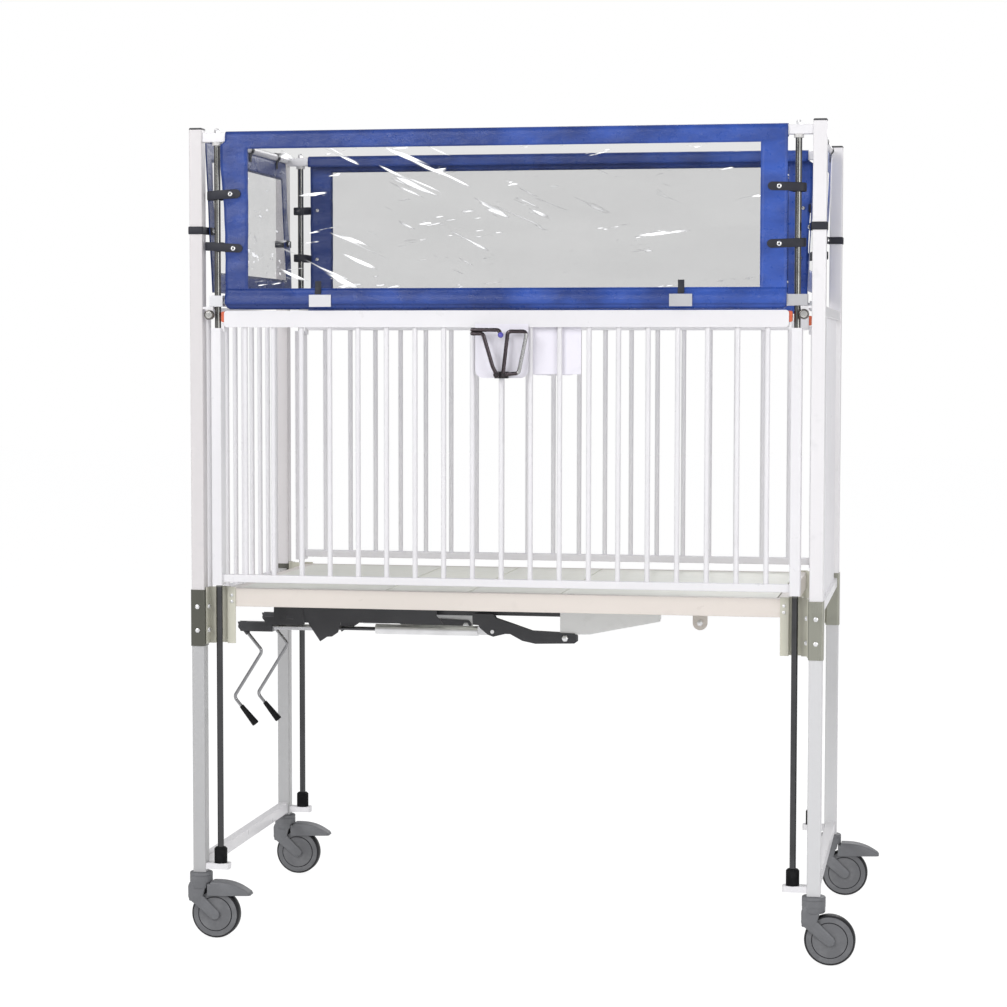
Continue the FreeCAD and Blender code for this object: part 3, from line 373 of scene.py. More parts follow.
def wheelLook():
    # grey wheel centre with a dark tread, and a dark ring painted in the groove round the cover disc as shade
    look = Look("castor wheel")
    z = look.axis("Z") - spot["axleZ"]
    radius = None
    for x0 in (-spot["postX"], spot["postX"]):
        dx = look.axis("X") - (x0 + spot["trail"] + middle)
        here = look.math("SQRT", dx * dx + z * z, 0.0)
        radius = here if radius is None else look.math("MINIMUM", radius, here)
    tread = radius > spot["tread"]
    # painted shade: a dark ring in the groove round the cover disc
    groove = (radius > spot["groove"][0]) * (radius < spot["groove"][1])
    scuff = look.noise(40.0, 4.0)
    shade = look.blend(look.between(scuff, 0.45, 0.7), (0.15, 0.152, 0.16), (0.19, 0.192, 0.20))
    shade = look.blend(groove, shade, (0.05, 0.05, 0.055))
    shade = look.blend(tread, shade, (0.014, 0.014, 0.016))
    rough = look.between(scuff, 0.3, 0.8, 0.42, 0.6)
    return look.finish(shade, rough, 0.0, look.bump(look.noise(700.0), 0.0001), Specular_IOR_Level=0.3)


special = {
    "post": postLook(),
    "rod": rodLook(),
    "shaft": threadLook(),
    "bracket": bracketLook(),
    "pan": panLook("deck section", spot["panLow"]),
    "lever": leverLook(),
    "plate": plateLook(),
    "wheel": wheelLook(),
}

# Which finish each CAD node gets
nodeFinish = {
    "corner_posts": special["post"], "frame_rails": paint["white"], "end_panel_spindles": paint["white"],
    "rod_brackets": special["bracket"], "post_caps": plastic["cap"], "post_sleeves": metal["sleeve"],
    "guide_rods": special["rod"], "rod_bumpers": plastic["rubber"], "deck_corner_brackets": paint["bracket"],
    "deck_frame_rails": paint["cream"], "seat_pan": paint["deck"], "backrest_pan": special["pan"],
    "thigh_pan": special["pan"], "foot_pan": paint["deck"], "screw_hangers": paint["dark"],
    "crank_housings": paint["dark"], "backrest_link": paint["dark"], "thigh_link": paint["dark"],
    "backrest_screw_tube": metal["bright"], "thigh_screw_tube": metal["bright"],
    "front_screw_shaft": special["shaft"], "rear_screw_shaft": special["shaft"],
}
crankFinish = {"head": paint["dark"], "handle": metal["handle"], "grip": plastic["grip"]}
sideFinish = {"side_frame": paint["white"], "side_spindles": paint["white"],
              "side_plates": special["plate"], "enclosure_clamps": metal["clamp"]}
castorFinish = {"fork": plastic["hood"], "wheel": special["wheel"], "pedal": plastic["hood"]}
for side in ("front", "rear"):
    nodeFinish.update({side + "_crank_" + part: finish for part, finish in crankFinish.items()})
for side in ("front", "back"):
    nodeFinish.update({side + "_" + part: finish for part, finish in sideFinish.items()})
    for end in ("left", "right"):
        nodeFinish[side + "_latch_lever_" + end] = special["lever"]
        nodeFinish[side + "_plunger_" + end] = plastic["orange"]
        for part, finish in castorFinish.items():
            nodeFinish[side + "_" + end + "_castor_" + part] = finish

for name, node in nodes.items():
    finish = nodeFinish.get(name, soft["vinyl"])
    node.data.materials.clear()
    node.data.materials.append(finish)
    node.data.polygons.foreach_set("use_smooth", np.ones(len(node.data.polygons), bool))
    weld = node.modifiers.new("weld", "WELD")
    weld.merge_threshold = 0.00002
    split = node.modifiers.new("crisp edges", "EDGE_SPLIT")
    split.split_angle = math.radians(32)
print("CAD nodes finished")


# Surfaces on a grid of two parameters

def gridFaces(rows, columns, wrapColumns=False):
    # quads between neighbouring grid points, joined round where the columns close on themselves
    r = np.arange(rows - 1)
    c = np.arange(columns if wrapColumns else columns - 1)
    a, b = np.meshgrid(r, c, indexing="ij")
    nextRow = a + 1
    nextColumn = (b + 1) % columns
    quads = np.stack([a * columns + b, a * columns + nextColumn, nextRow * columns + nextColumn,
                      nextRow * columns + b], -1)
    return quads.reshape(-1, 4)


def surface(points, wrapColumns=False):
    # a grid of points as one part of a mesh: the points in a row, and the quads between them
    rows, columns = points.shape[:2]
    return points.reshape(-1, 3), gridFaces(rows, columns, wrapColumns)


def turnedForm(profile, centre, axis, sides=28):
    # radius and height pairs swept round an axis through the centre
    profile = np.array(profile, float)
    axis = np.array(axis, float) / np.linalg.norm(axis)
    helper = np.array((0.0, 0.0, 1.0)) if abs(axis[2]) < 0.9 else np.array((1.0, 0.0, 0.0))
    across = np.cross(axis, helper)
    across /= np.linalg.norm(across)
    other = np.cross(axis, across)
    turn = np.linspace(0.0, 2 * math.pi, sides, endpoint=False)
    ring = np.cos(turn)[:, None] * across + np.sin(turn)[:, None] * other
    points = profile[:, 0][:, None, None] * ring[None] + (profile[:, 1][:, None] * axis)[:, None, :]
    return surface(points + np.array(centre, float), wrapColumns=True)


def strip(path, widthAxis, width, thickness):
    # flat webbing: a thin rectangle carried along a path, wide along widthAxis
    path = np.array(path, float)
    wide = np.array(widthAxis, float)
    out = np.cross(np.gradient(path, axis=0), wide)
    out /= np.linalg.norm(out, axis=1)[:, None]
    half = wide * width / 2
    thick = out * thickness / 2
    rim = 0.8
    ring = np.stack([path + half * rim + thick, path + half, path + half * rim - thick,
                     path - half * rim - thick, path - half, path - half * rim + thick], 1)
    ends = [(end, np.array([[0, 1, 2, 3], [0, 3, 4, 5]])) for end in (ring[0], ring[-1])]
    return [surface(ring, wrapColumns=True)] + ends


def roundPath(points, radius, samples=6):
    # straight runs joined by soft corners: each corner is a parabola between two cut points
    p = np.array(points, float)
    made = [p[:1]]
    t = np.linspace(0.0, 1.0, samples)[:, None]
    for before, corner, after in zip(p, p[1:], p[2:]):
        back = before - corner
        on = after - corner
        a = corner + back * min(radius / np.linalg.norm(back), 0.48)
        b = corner + on * min(radius / np.linalg.norm(on), 0.48)
        made.append((1 - t) ** 2 * a + 2 * t * (1 - t) * corner + t ** 2 * b)
    return np.concatenate(made + [p[-1:]])


def addPiece(name, parts, finish, body, sharp=38.0, thickness=None, flat=None, turned=False,
             closed=False):
    # the parts become one mesh at the origin, merged where they meet, with a wall of the given thickness
    points = np.concatenate([p for p, f in parts])
    shift = np.cumsum([0] + [len(p) for p, f in parts[:-1]])
    faces = [tuple(row) for (p, f), s in zip(parts, shift) for row in (f + s).tolist()]
    if turned:
        points = points * np.array((-1.0, -1.0, 1.0))
    points = points + np.array((middle, 0.0, 0.0))
    mesh = bpy.data.meshes.new(name)
    mesh.from_pydata(points.tolist(), [], faces)
    if flat is not None:
        layer = mesh.uv_layers.new(name="flat")
        loop = np.zeros(len(mesh.loops), int)
        mesh.loops.foreach_get("vertex_index", loop)
        layer.data.foreach_set("uv", flat[loop].ravel())
    form = bmesh.new()
    form.from_mesh(mesh)
    bmesh.ops.remove_doubles(form, verts=form.verts, dist=0.00001)
    if closed:
        bmesh.ops.holes_fill(form, edges=[e for e in form.edges if e.is_boundary])
    if thickness is None:
        bmesh.ops.recalc_face_normals(form, faces=form.faces)
    form.to_mesh(mesh)
    form.free()
    mesh.shade_smooth()
    mesh.set_sharp_from_angle(angle=math.radians(sharp))
    mesh.materials.append(finish)
    piece = bpy.data.objects.new(name, mesh)
    bpy.context.scene.collection.objects.link(piece)
    if thickness is not None:
        wall = piece.modifiers.new("thickness", "SOLIDIFY")
        wall.thickness = thickness
        wall.offset = 0.0
        bpy.context.view_layer.objects.active = piece
        piece.select_set(True)
        bpy.ops.object.modifier_apply(modifier="thickness")
        piece.select_set(False)
    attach(piece, body)
    return piece


# Vinyl sheets of the long sides

longSheet = {
    "halfLength": 0.702, "windowLeft": -0.643, "windowRight": 0.637, "windowBottom": 1.654,
    "windowTop": 2.002, "railY": -0.402, "railZ": 2.0315, "railHalf": 0.0133, "bulge": 0.0125,
    "barY": -0.402, "barZ": 1.6225, "wrap": 0.0242, "hemEnd": 1.6135, "hemTop": 1.652, "lap": 0.006,
    "strapHeights": (1.758, 1.891), "thickness": 0.0016, "filmThickness": 0.0006, "filmGap": 0.0014,
    "step": 0.009, "ripple": 0.0016, "keep": 0.315,
}


def sheetPath(s):
    # from behind the top rail, over it, straight down and over the front of the padded bar; y and z
    h = s["railHalf"]
    y = s["railY"]
    z = s["railZ"]
    points = [(y + h + 0.001, z - h - 0.002), (y + h + 0.001, z + h * 0.5), (y + h * 0.6, z + h + 0.001),
              (y - h * 0.6, z + h + 0.001), (y - h - 0.001, z + h * 0.4), (y - h - 0.0012, z - h),
              (y - h - 0.0014, z - 0.035), (y - h - 0.0016, s["hemTop"])]
    for rise in (0.022, 0.0175, 0.010, 0.0, s["hemEnd"] - s["barZ"]):
        points.append((s["barY"] - math.sqrt(s["wrap"] ** 2 - (rise * 0.8) ** 2), s["barZ"] + rise))
    return np.array(points)


def spaced(edges, step):
    # parameter values that hit every edge and are even between them
    parts = []
    for a, b in zip(edges, edges[1:]):
        parts.append(np.linspace(a, b, max(2, int(round(abs(b - a) / step)) + 1))[:-1])
    return np.concatenate(parts + [[edges[-1]]])


def longRipple(x, z, s):
    # slack: sums of long shallow sine waves, drag lines that fade out from the corner straps, and short
    # puckers under the rail and along the window's lower edge
    wave = np.sin(x * 9.0 + 1.3) * np.sin(z * 17.0 + x * 2.1) + 0.6 * np.sin(x * 23.0 + z * 31.0)
    corner = np.zeros_like(x)
    for side in (-1, 1):
        for height in s["strapHeights"]:
            dx = np.abs(x - side * 0.70)
            dz = (z - height)
            corner += np.exp(-dx / 0.10) * np.cos(dz * 95.0 - dx * 12.0) * np.exp(-(dz / 0.06) ** 2)
    pucker = np.sin(x * 150.0 + 3.0 * np.sin(x * 11.0))
    pucker = pucker * np.exp(-((z - s["windowBottom"]) / 0.014) ** 2)
    gather = np.sin(x * 95.0 + 4.0 * np.sin(x * 13.0)) * np.exp(-((z - 2.010) / 0.007) ** 2)
    hold = np.clip((1.995 - z) / 0.08, 0.0, 1.0) * np.clip((z - 1.662) / 0.03, 0.0, 1.0)
    return s["ripple"] * ((0.75 * wave + 1.3 * corner) * hold + 0.25 * pucker + 0.55 * gather)


def sheetBulge(x, z, s):
    # below the hem the outer edge on one side stands out past it
    below = np.clip((2.020 - z) / 0.008, 0.0, 1.0)
    amount = s["bulge"] * below * np.exp(-((np.minimum(z, 1.995) - 1.995) / 0.13) ** 2)
    return -amount * np.clip((-x - 0.645) / 0.057, 0.0, 1.0)


def longSheets(side, turned):
    # a point is u along the crib and v along the path's run; the slack moves it in y and the bulge in x
    s = longSheet
    path = sheetPath(s)
    length = np.concatenate([[0.0], np.cumsum(np.linalg.norm(np.diff(path, axis=0), axis=1))])
    vTop, vBottom = np.interp((s["windowTop"], s["windowBottom"]), path[5:, 1][::-1], length[5:][::-1])
    # run lengths at the rail's underside and where the hem starts
    railLow = length[5]
    hemStart = length[7]
    v = spaced([0.0, 0.04, railLow, vTop, vBottom, hemStart, length[-3], length[-1]], s["step"] * 0.6)
    u = spaced([-s["halfLength"], s["windowLeft"], 0.0, s["windowRight"], s["halfLength"]], s["step"])
    y = np.interp(v, length, path[:, 0])
    z = np.interp(v, length, path[:, 1])
    U, Y = np.meshgrid(u, y)
    Z = np.meshgrid(u, z)[1]
    V = np.meshgrid(u, v)[1]
    ripple = longRipple(U, Z, s) * (V > railLow)
    points = np.stack([U + sheetBulge(U, Z, s) * (V > length[4]), Y - ripple, Z], -1)
    faces = gridFaces(len(v), len(u))
    centreU = U.reshape(-1)[faces].mean(1)
    centreV = V.reshape(-1)[faces].mean(1)
    window = (centreU > s["windowLeft"]) & (centreU < s["windowRight"])
    window = window & (centreV > vTop) & (centreV < vBottom)
    hem = centreV > hemStart
    flat = np.stack([U.reshape(-1), V.reshape(-1)], -1)

    def cut(name, chosen, body):
        used, index = np.unique(chosen, return_inverse=True)
        part = (points.reshape(-1, 3)[used], index.reshape(chosen.shape))
        return addPiece(name, [part], soft["vinyl"], body, thickness=s["thickness"], flat=flat[used],
                        turned=turned)

    # the hem is a piece of its own, because it stays round the bar and rides with the enclosure's body
    border = cut(side + "VinylBorder", faces[~window & ~hem], "frame")
    lower = cut(side + "VinylHem", faces[hem], side + "_enclosure")
    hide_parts(side + "_vinyl_panel")
    lap = s["lap"]
    fu = spaced([s["windowLeft"] - lap, 0.0, s["windowRight"] + lap], s["step"])
    fv = spaced([vTop - lap, vBottom + lap], s["step"])
    U, V = np.meshgrid(fu, fv)
    Y = np.interp(V, length, path[:, 0])
    Z = np.interp(V, length, path[:, 1])
    ripple = longRipple(U, Z, s)
    film = np.stack([U, Y - ripple + s["filmGap"], Z], -1)
    flat = np.stack([U.reshape(-1), V.reshape(-1)], -1)
    window = addPiece(side + "Window", [surface(film)], soft["film"], "frame",
                      thickness=s["filmThickness"], flat=flat, turned=turned)
    return border, window


# Padded bars that carry the lower hems

paddedBar = {"halfLength": 0.702, "radius": 0.0215, "y": -0.402, "z": 1.6225, "dent": 0.0008}


def barForm(s):
    # a circle round the bar's axis at each x: two sine waves take shallow dents off its radius, and a
    # quarter ellipse draws it in at both ends
    x = spaced([-s["halfLength"], 0.0, s["halfLength"]], 0.008)
    a = np.linspace(0.0, 2 * math.pi, 36, endpoint=False)
    X, A = np.meshgrid(x, a, indexing="ij")
    inset = s["halfLength"] - np.abs(X)
    ends = np.sqrt(np.clip(1 - np.clip(1 - inset / 0.005, 0, 1) ** 2, 0.0, 1.0)) * 0.2 + 0.8
    dent = np.sin(X * 31.0 + 2 * np.sin(A)) * 0.5 + np.sin(X * 67.0 + A * 3.0 + 1.0) * 0.35
    radius = s["radius"] * ends - s["dent"] * (0.5 + 0.5 * dent)
    rings = np.stack([X, s["y"] + radius * np.cos(A), s["z"] + radius * np.sin(A)], -1)
    caps = [np.stack([rings[k], np.repeat(rings[k].mean(0)[None], len(a), 0)]) for k in (0, -1)]
    return [surface(rings, wrapColumns=True)] + [surface(c, wrapColumns=True) for c in caps]


# Sheets of the short ends

endSheet = {"topX": 0.765, "bottomX": 0.748, "topZ": 2.0261, "bottomZ": 1.645, "half": 0.380,
            "border": 0.052, "hemTop": 0.050, "lap": 0.006, "thickness": 0.0014,
            "filmThickness": 0.0006, "filmGap": 0.0013, "step": 0.010, "ripple": 0.0016}


def quadArea(points, faces):
    # half the cross product of each quad's diagonals, all added up
    p = points.reshape(-1, 3)[faces]
    return float(0.5 * np.linalg.norm(np.cross(p[:, 2] - p[:, 0], p[:, 3] - p[:, 1]), axis=1).sum())


def endSheets(sx):
    # a flat grid that leans inward from its top edge to its foot, plus slack: a product of sine waves that
    # fades out at the top and the foot
    s = endSheet
    name = "leftEnd" if sx < 0 else "rightEnd"
    half = s["half"]
    height = s["topZ"] - s["bottomZ"]
    side = 1.0 - s["border"] / half
    high = s["hemTop"] / height
    low = 1.0 - s["border"] / height
    u = spaced([-1.0, -side, 0.0, side, 1.0], s["step"] / half)
    v = spaced([0.0, high, low, 1.0], s["step"] / height)

    def place(u, v, inward):
        U, V = np.meshgrid(u, v)
        wave = np.sin(U * 7.0 + 1.0) * np.sin(V * 6.0) + 0.5 * np.sin(U * 17.0 + V * 9.0)
        lean = (s["bottomX"] - s["topX"]) * V
        x = s["topX"] + lean - inward + s["ripple"] * wave * np.sin(V * math.pi)
        z = s["topZ"] - height * V
        flat = np.stack([(U * half).reshape(-1), (V * height).reshape(-1)], -1)
        return np.stack([sx * x, U * half, z], -1), flat, U, V

    points, flat, U, V = place(u, v, 0.0)
    faces = gridFaces(len(v), len(u))
    cu = U.reshape(-1)[faces].mean(1)
    cv = V.reshape(-1)[faces].mean(1)
    window = (np.abs(cu) < side) & (cv > high) & (cv < low)
    area = quadArea(points, faces[~window])
    border = addPiece(name + "Border", [(points.reshape(-1, 3), faces[~window])], soft["vinyl"], "frame",
                      thickness=s["thickness"], flat=flat)
    lap = s["lap"]
    fu = spaced([-side - lap / half, side + lap / half], s["step"] / half)
    fv = spaced([high - lap / height, low + lap / height], s["step"] / height)
    points, flat, U, V = place(fu, fv, s["filmGap"])
    film = addPiece(name + "Window", [surface(points)], soft["film"], "frame",
                    thickness=s["filmThickness"], flat=flat)
    area = quadArea(points, gridFaces(len(fv), len(fu)))
    return border


for side, turned in (("front", False), ("back", True)):
    border, window = longSheets(side, turned)
    bar = addPiece(side + "Bar", barForm(paddedBar), soft["vinyl"], side + "_enclosure", turned=turned)
    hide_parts(side + "_enclosure_bar")
    for piece in (border, window):
        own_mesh(piece)
leftEnd = endSheets(-1)
rightEnd = endSheets(1)
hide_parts("end_vinyl_panels")
print("vinyl hung")

# Straps, bands and snaps

strapSizes = {
    "thickness": 0.0022, "thin": 0.0014, "snapRadius": 0.0068, "rivetRadius": 0.0045,
    "postHeight": 1.800, "postWidth": 0.019,
    "bandWidth": 0.022, "bandPlaces": (-0.24, 0.02, 0.281), "bandRadius": 0.0113, "tube": (0.765, 2.036),
    "clipStrap": 0.016, "clipThickness": 0.0016, "clipPlaces": (-0.4617, 0.4465),
    "clipHeights": (1.6390, 1.655, 1.672),
}
# side, height, width, inner end, outer reach, stud place and rise towards the rod of each corner strap
cornerPlaces = (
    (-1, 1.8905, 0.0225, 0.6735, 0.7515, 0.688, -0.004), (-1, 1.7545, 0.0215, 0.6685, 0.757, 0.681, 0.006),
    (1, 1.8960, 0.0210, 0.6660, 0.7460, 0.682, -0.003), (1, 1.7580, 0.0210, 0.6650, 0.7460, 0.683, 0.003),
)
# x and y of the strap round a post, from the outer face of the end sheet to its inner face
postRoute = ((0.7578, 0.346), (0.7588, 0.376), (0.7607, 0.386), (0.7605, 0.4205), (0.7975, 0.4205),
             (0.7975, 0.3835), (0.7640, 0.3832), (0.7570, 0.376), (0.7525, 0.368), (0.7522, 0.346))


def sheetY(z):
    # where the long sheet's face is at a height
    path = sheetPath(longSheet)[6:]
    return float(np.interp(z, path[::-1, 1], path[::-1, 0]))


def snap(centre, axis, radius):
    # press stud: a rounded ring with a sunken middle
    r = radius
    profile = [(0.0, 0.0009), (r * 0.34, 0.0009), (r * 0.36, 0.0026), (r * 0.55, 0.0034),
               (r * 0.8, 0.0028), (r * 0.97, 0.0012), (r, 0.0), (0.0, 0.0)]
    return turnedForm(profile, centre, axis, 24)


def core(centre, axis, radius):
    # dark middle of a press stud
    profile = [(0.0, 0.0016), (radius * 0.30, 0.0015), (radius * 0.33, 0.0), (0.0, 0.0)]
    return turnedForm(profile, centre, axis, 16)


def cornerStraps(side, turned):
    # each strap leaves the sheet's face, loops loosely round the guide rod and ends behind the sheet's edge
    s = strapSizes
    skin = s["thickness"] / 2
    parts = []
    snaps = []
    for sx, z, wide, inner, reach, stud, rise in cornerPlaces:
        y = sheetY(z)
        face = y - 0.0030
        run = [(inner, face, 0.0), (0.700, face - 0.0004, rise * 0.3), (0.735, face + 0.0005, rise * 0.8),
               (reach, face + 0.008, rise), (reach, -0.3945, rise), (0.738, -0.3885, rise),
               (0.716, -0.3895, rise), (0.7085, -0.400, rise * 0.6), (0.7036, -0.4125, rise * 0.4)]
        path = roundPath([(sx * x, w, z + up) for x, w, up in run], 0.008)
        parts += strip(path, (0.0, 0.0, 1.0), wide, s["thickness"])
        # rounded end of the strap: a half disc beyond its last straight part
        turn = np.linspace(0.5 * math.pi, 1.5 * math.pi, 11)
        half = np.stack([inner + 0.55 * wide * np.cos(turn), z + 0.5 * wide * np.sin(turn)], -1)
        rings = []
        for y0 in (face - skin, face + skin):
            rings.append(np.stack([sx * half[:, 0], np.full(len(turn), y0), half[:, 1]], -1))
        centres = [np.repeat(r[[0, -1]].mean(0)[None], len(turn), 0) for r in rings]
        parts.append(surface(np.stack([centres[0], rings[0], rings[1], centres[1]])))
        centre = (sx * stud, face - skin, z)
        parts.append(core(centre, (0.0, -1.0, 0.0), s["snapRadius"]))
        snaps.append(snap(centre, (0.0, -1.0, 0.0), s["snapRadius"]))
        snaps.append(snap((sx * stud, y + 0.0012, z), (0.0, 1.0, 0.0), s["snapRadius"] * 0.8))
    straps = addPiece(side + "CornerStraps", parts, plastic["strap"], "frame", turned=turned)
    domes = addPiece(side + "CornerSnaps", snaps, metal["chrome"], "frame", turned=turned)
    for piece in (straps, domes):
        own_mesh(piece)
    clipStraps = []
    for x0 in s["clipPlaces"]:
        points = [(x0, sheetY(z) - s["thickness"], z) for z in s["clipHeights"]]
        path = roundPath(points, 0.004)
        clipStraps += strip(path, (1.0, 0.0, 0.0), s["clipStrap"], s["clipThickness"])
    clips = addPiece(side + "ClipStraps", clipStraps, plastic["strap"], side + "_enclosure", turned=turned)


def postStraps():
    # a strap from each end sheet once round the post beside it, riveted to the sheet
    s = strapSizes
    parts = []
    rivets = []
    for sx in (-1, 1):
        for sy in (-1, 1):
            z = s["postHeight"]
            path = roundPath([(sx * x, sy * y, z) for x, y in postRoute], 0.0035)
            parts += strip(path, (0.0, 0.0, 1.0), s["postWidth"], s["thickness"])
            for x, way in ((0.7589, 1.0), (0.7511, -1.0)):
                rivets.append(snap((sx * x, sy * 0.360, z), (sx * way, 0.0, 0.0), s["rivetRadius"]))
    straps = addPiece("postStraps", parts, plastic["strap"], "frame")
    studs = addPiece("postStrapRivets", rivets, metal["chrome"], "frame")


def tubeBands():
    # webbing loops that hang each end sheet from the tube above it
    s = strapSizes
    r = s["bandRadius"]
    x0, z0 = s["tube"]
    turn = np.linspace(-0.35 * math.pi, 1.35 * math.pi, 22)
    loop = [(x0 - r * math.cos(t), z0 + r * math.sin(t)) for t in turn]
    points = [(0.7620, 2.004), (0.7622, 2.018)] + loop + [(0.7682, 2.018), (0.7670, 2.004)]
    parts = []
    for sx in (-1, 1):
        for y in s["bandPlaces"]:
            path = np.array([(sx * x, y, z) for x, z in points])
            parts += strip(path, (0.0, 1.0, 0.0), s["bandWidth"], s["thin"])
    bands = addPiece("tubeBands", parts, plastic["strap"], "frame")


cornerStraps("front", False)
cornerStraps("back", True)
postStraps()
tubeBands()
print("straps and snaps done")

# Nuts, bolts and rivets

# radius, and for the link bolts also the x and z of the joint and each head's y, way and height
hardware = {
    "rodNut": 0.0072, "sleeveBolt": 0.0062, "smallBolt": 0.0042, "deckBolt": 0.008, "linkBolt": 0.0085,
    "backrest": ((0.118, 0.756), ((-0.1263, -1, 0.008), (-0.1057, 1, 0.008))),
    "thigh": ((-0.190, 0.758), ((0.1057, -1, 0.0032), (0.1263, 1, 0.008))),
}


def hexNut(centre, axis, radius, height):
    # six-sided nut with a rounded closed end
    shoulder = (radius * 0.9, height * 0.62)
    r = radius * 0.86
    sides = [(0.0, 0.0), (radius, 0.0), (radius, height * 0.55), shoulder]
    dome = [shoulder, (r, height * 0.62), (r * 0.95, height * 0.8), (r * 0.7, height * 0.93),
            (r * 0.35, height * 0.99), (0.0, height)]
    return [turnedForm(sides, centre, axis, 6), turnedForm(dome, centre, axis, 24)]


def fasteners():
    # nuts and bolt heads at their places; each link's bolt rides with the link
    s = hardware
    frameParts = []
    for sx in (-1, 1):
        for sy in (-1, 1):
            frameParts += hexNut((sx * 0.727, sy * 0.402, 2.043), (0, 0, 1), s["rodNut"], 0.0115)
            for z in (0.790, 0.850):
                # through the sleeve from the inner side, over the bracket's leg
                frameParts += hexNut((sx * 0.7572, sy * 0.4015, z), (-sx, 0, 0), s["sleeveBolt"], 0.007)
                frameParts += hexNut((sx * 0.779, sy * 0.4209, z), (0, sy, 0), s["sleeveBolt"], 0.005)
            for z in (0.862, 0.878):
                frameParts += hexNut((sx * 0.699, sy * 0.385, z), (0, sy, 0), s["smallBolt"], 0.004)
    frameParts += hexNut((0.467, -0.119, 0.803), (0, -1, 0), s["deckBolt"], 0.007)
    bolts = addPiece("frameFasteners", frameParts, metal["bright"], "frame", sharp=30.0)
    for link in ("backrest", "thigh"):
        (x, z), heads = s[link]
        linkParts = []
        for y, way, height in heads:
            linkParts += hexNut((x, y, z), (0, way, 0), s["linkBolt"], height)
        linkBolt = addPiece(link + "LinkBolt", linkParts, metal["bright"], link + "_link_body", sharp=30.0)


fasteners()
print("fasteners done")

# Castor forks and pedals

castor = {
    "post": (0.779, 0.402), "hub": (0.040, 0.0625), "wheelRadius": 0.0625, "pin": (0.027, 0.143),
    "turn": 12.0, "headRadius": 0.0292, "headTop": 0.169, "headLow": 0.1428, "neckLow": 0.1285,
    "neckRight": 0.0205, "stemRadius": 0.011, "stemTop": 0.205, "cheekIn": 0.0175, "cheekOut": 0.024,
    "axleRadius": 0.005, "axleHalf": 0.0205, "pedalStart": 0.0215, "pedalEnd": 0.133,
    "pedalTop": 0.146, "pedalLow": 0.1105, "pedalHalf": 0.0225,
}


def capsule(ends, levels, count=48):
    # prism along Y: the outline is two circles and their common tangents, drawn in by an inset at each level
    (x0, z0, r0), (x1, z1, r1) = ends
    t = np.linspace(0.0, 2 * math.pi, count, endpoint=False)
    d = np.stack([np.cos(t), np.sin(t)], -1)
    second = (d @ np.array((x1, z1)) + r1 > d @ np.array((x0, z0)) + r0)[:, None]
    rings = []
    for y, inset in levels:
        p = np.where(second, np.array((x1, z1)) + d * (r1 - inset), np.array((x0, z0)) + d * (r0 - inset))
        rings.append(np.stack([p[:, 0], np.full(count, y), p[:, 1]], -1))
    caps = [np.repeat(r.mean(0)[None], count, 0) for r in (rings[0], rings[-1])]
    return np.stack([caps[0]] + rings + [caps[1]])


def forkForm(s, pedal):
    # round swivel head with a rim, neck, two slanting legs outside the wheel and the wall that joins them
    r = s["headRadius"]
    top = s["headTop"]
    head = [(0.0, s["headLow"]), (r - 0.001, s["headLow"]), (r, s["headLow"] + 0.001), (r, top - 0.0095),
            (r - 0.0009, top - 0.0088), (r - 0.0009, top - 0.0080), (r, top - 0.0073), (r, top - 0.003),
            (r - 0.001, top - 0.001), (r - 0.003, top), (0.0, top)]
    stem = [(0.0, top), (s["stemRadius"], top), (s["stemRadius"], s["stemTop"]), (0.0, s["stemTop"])]
    parts = [turnedForm(head, (0, 0, 0), (0, 0, 1), 40), turnedForm(stem, (0, 0, 0), (0, 0, 1), 24)]
    low = s["neckLow"]
    neckTop = s["headLow"] + 0.0002
    outline = [(0.0, low), (r - 0.003, low), (r - 0.0006, low + 0.003), (r - 0.0006, neckTop), (0.0, neckTop)]
    neck, faces = turnedForm(outline, (0, 0, 0), (0, 0, 1), 48)
    # beside a pedal the neck has a leaning flat that the pressed pedal clears
    lean = s["neckRight"] - 0.2 * (s["headLow"] - neck[:, 2])
    neck[:, 0] = np.minimum(neck[:, 0], lean if pedal else r)
    parts.append((neck, faces))
    hub = s["hub"]
    a = s["cheekIn"]
    b = s["cheekOut"]
    # each leg is two rounded plates, the lower one a little thinner so that no faces lie in one plane
    upper = ((-0.0070, 0.130, 0.0222), (-0.0095, 0.111, 0.0195))
    lower = ((-0.0130, 0.109, 0.0163), (hub[0], hub[1], 0.0135))
    for way in (-1, 1):
        for ends, sunk in ((upper, 0.0), (lower, 0.0004)):
            low = a + sunk
            high = b - sunk
            levels = [(way * low, 0.0), (way * (high - 0.003), 0.0), (way * (high - 0.0012), 0.0008),
                      (way * high, 0.003)]
            parts.append(surface(capsule(ends, levels), wrapColumns=True))
    wall = capsule(((-0.0245, 0.122, 0.0042), (-0.0240, 0.0985, 0.0042)), [(-a, 0.0), (a, 0.0)])
    parts.append(surface(wall, wrapColumns=True))
    axle = [(0.0, -s["axleHalf"]), (s["axleRadius"], -s["axleHalf"]), (s["axleRadius"], s["axleHalf"]),
            (0.0, s["axleHalf"])]
    parts.append(turnedForm(axle, (hub[0], 0.0, hub[1]), (0, 1, 0), 20))
    return parts


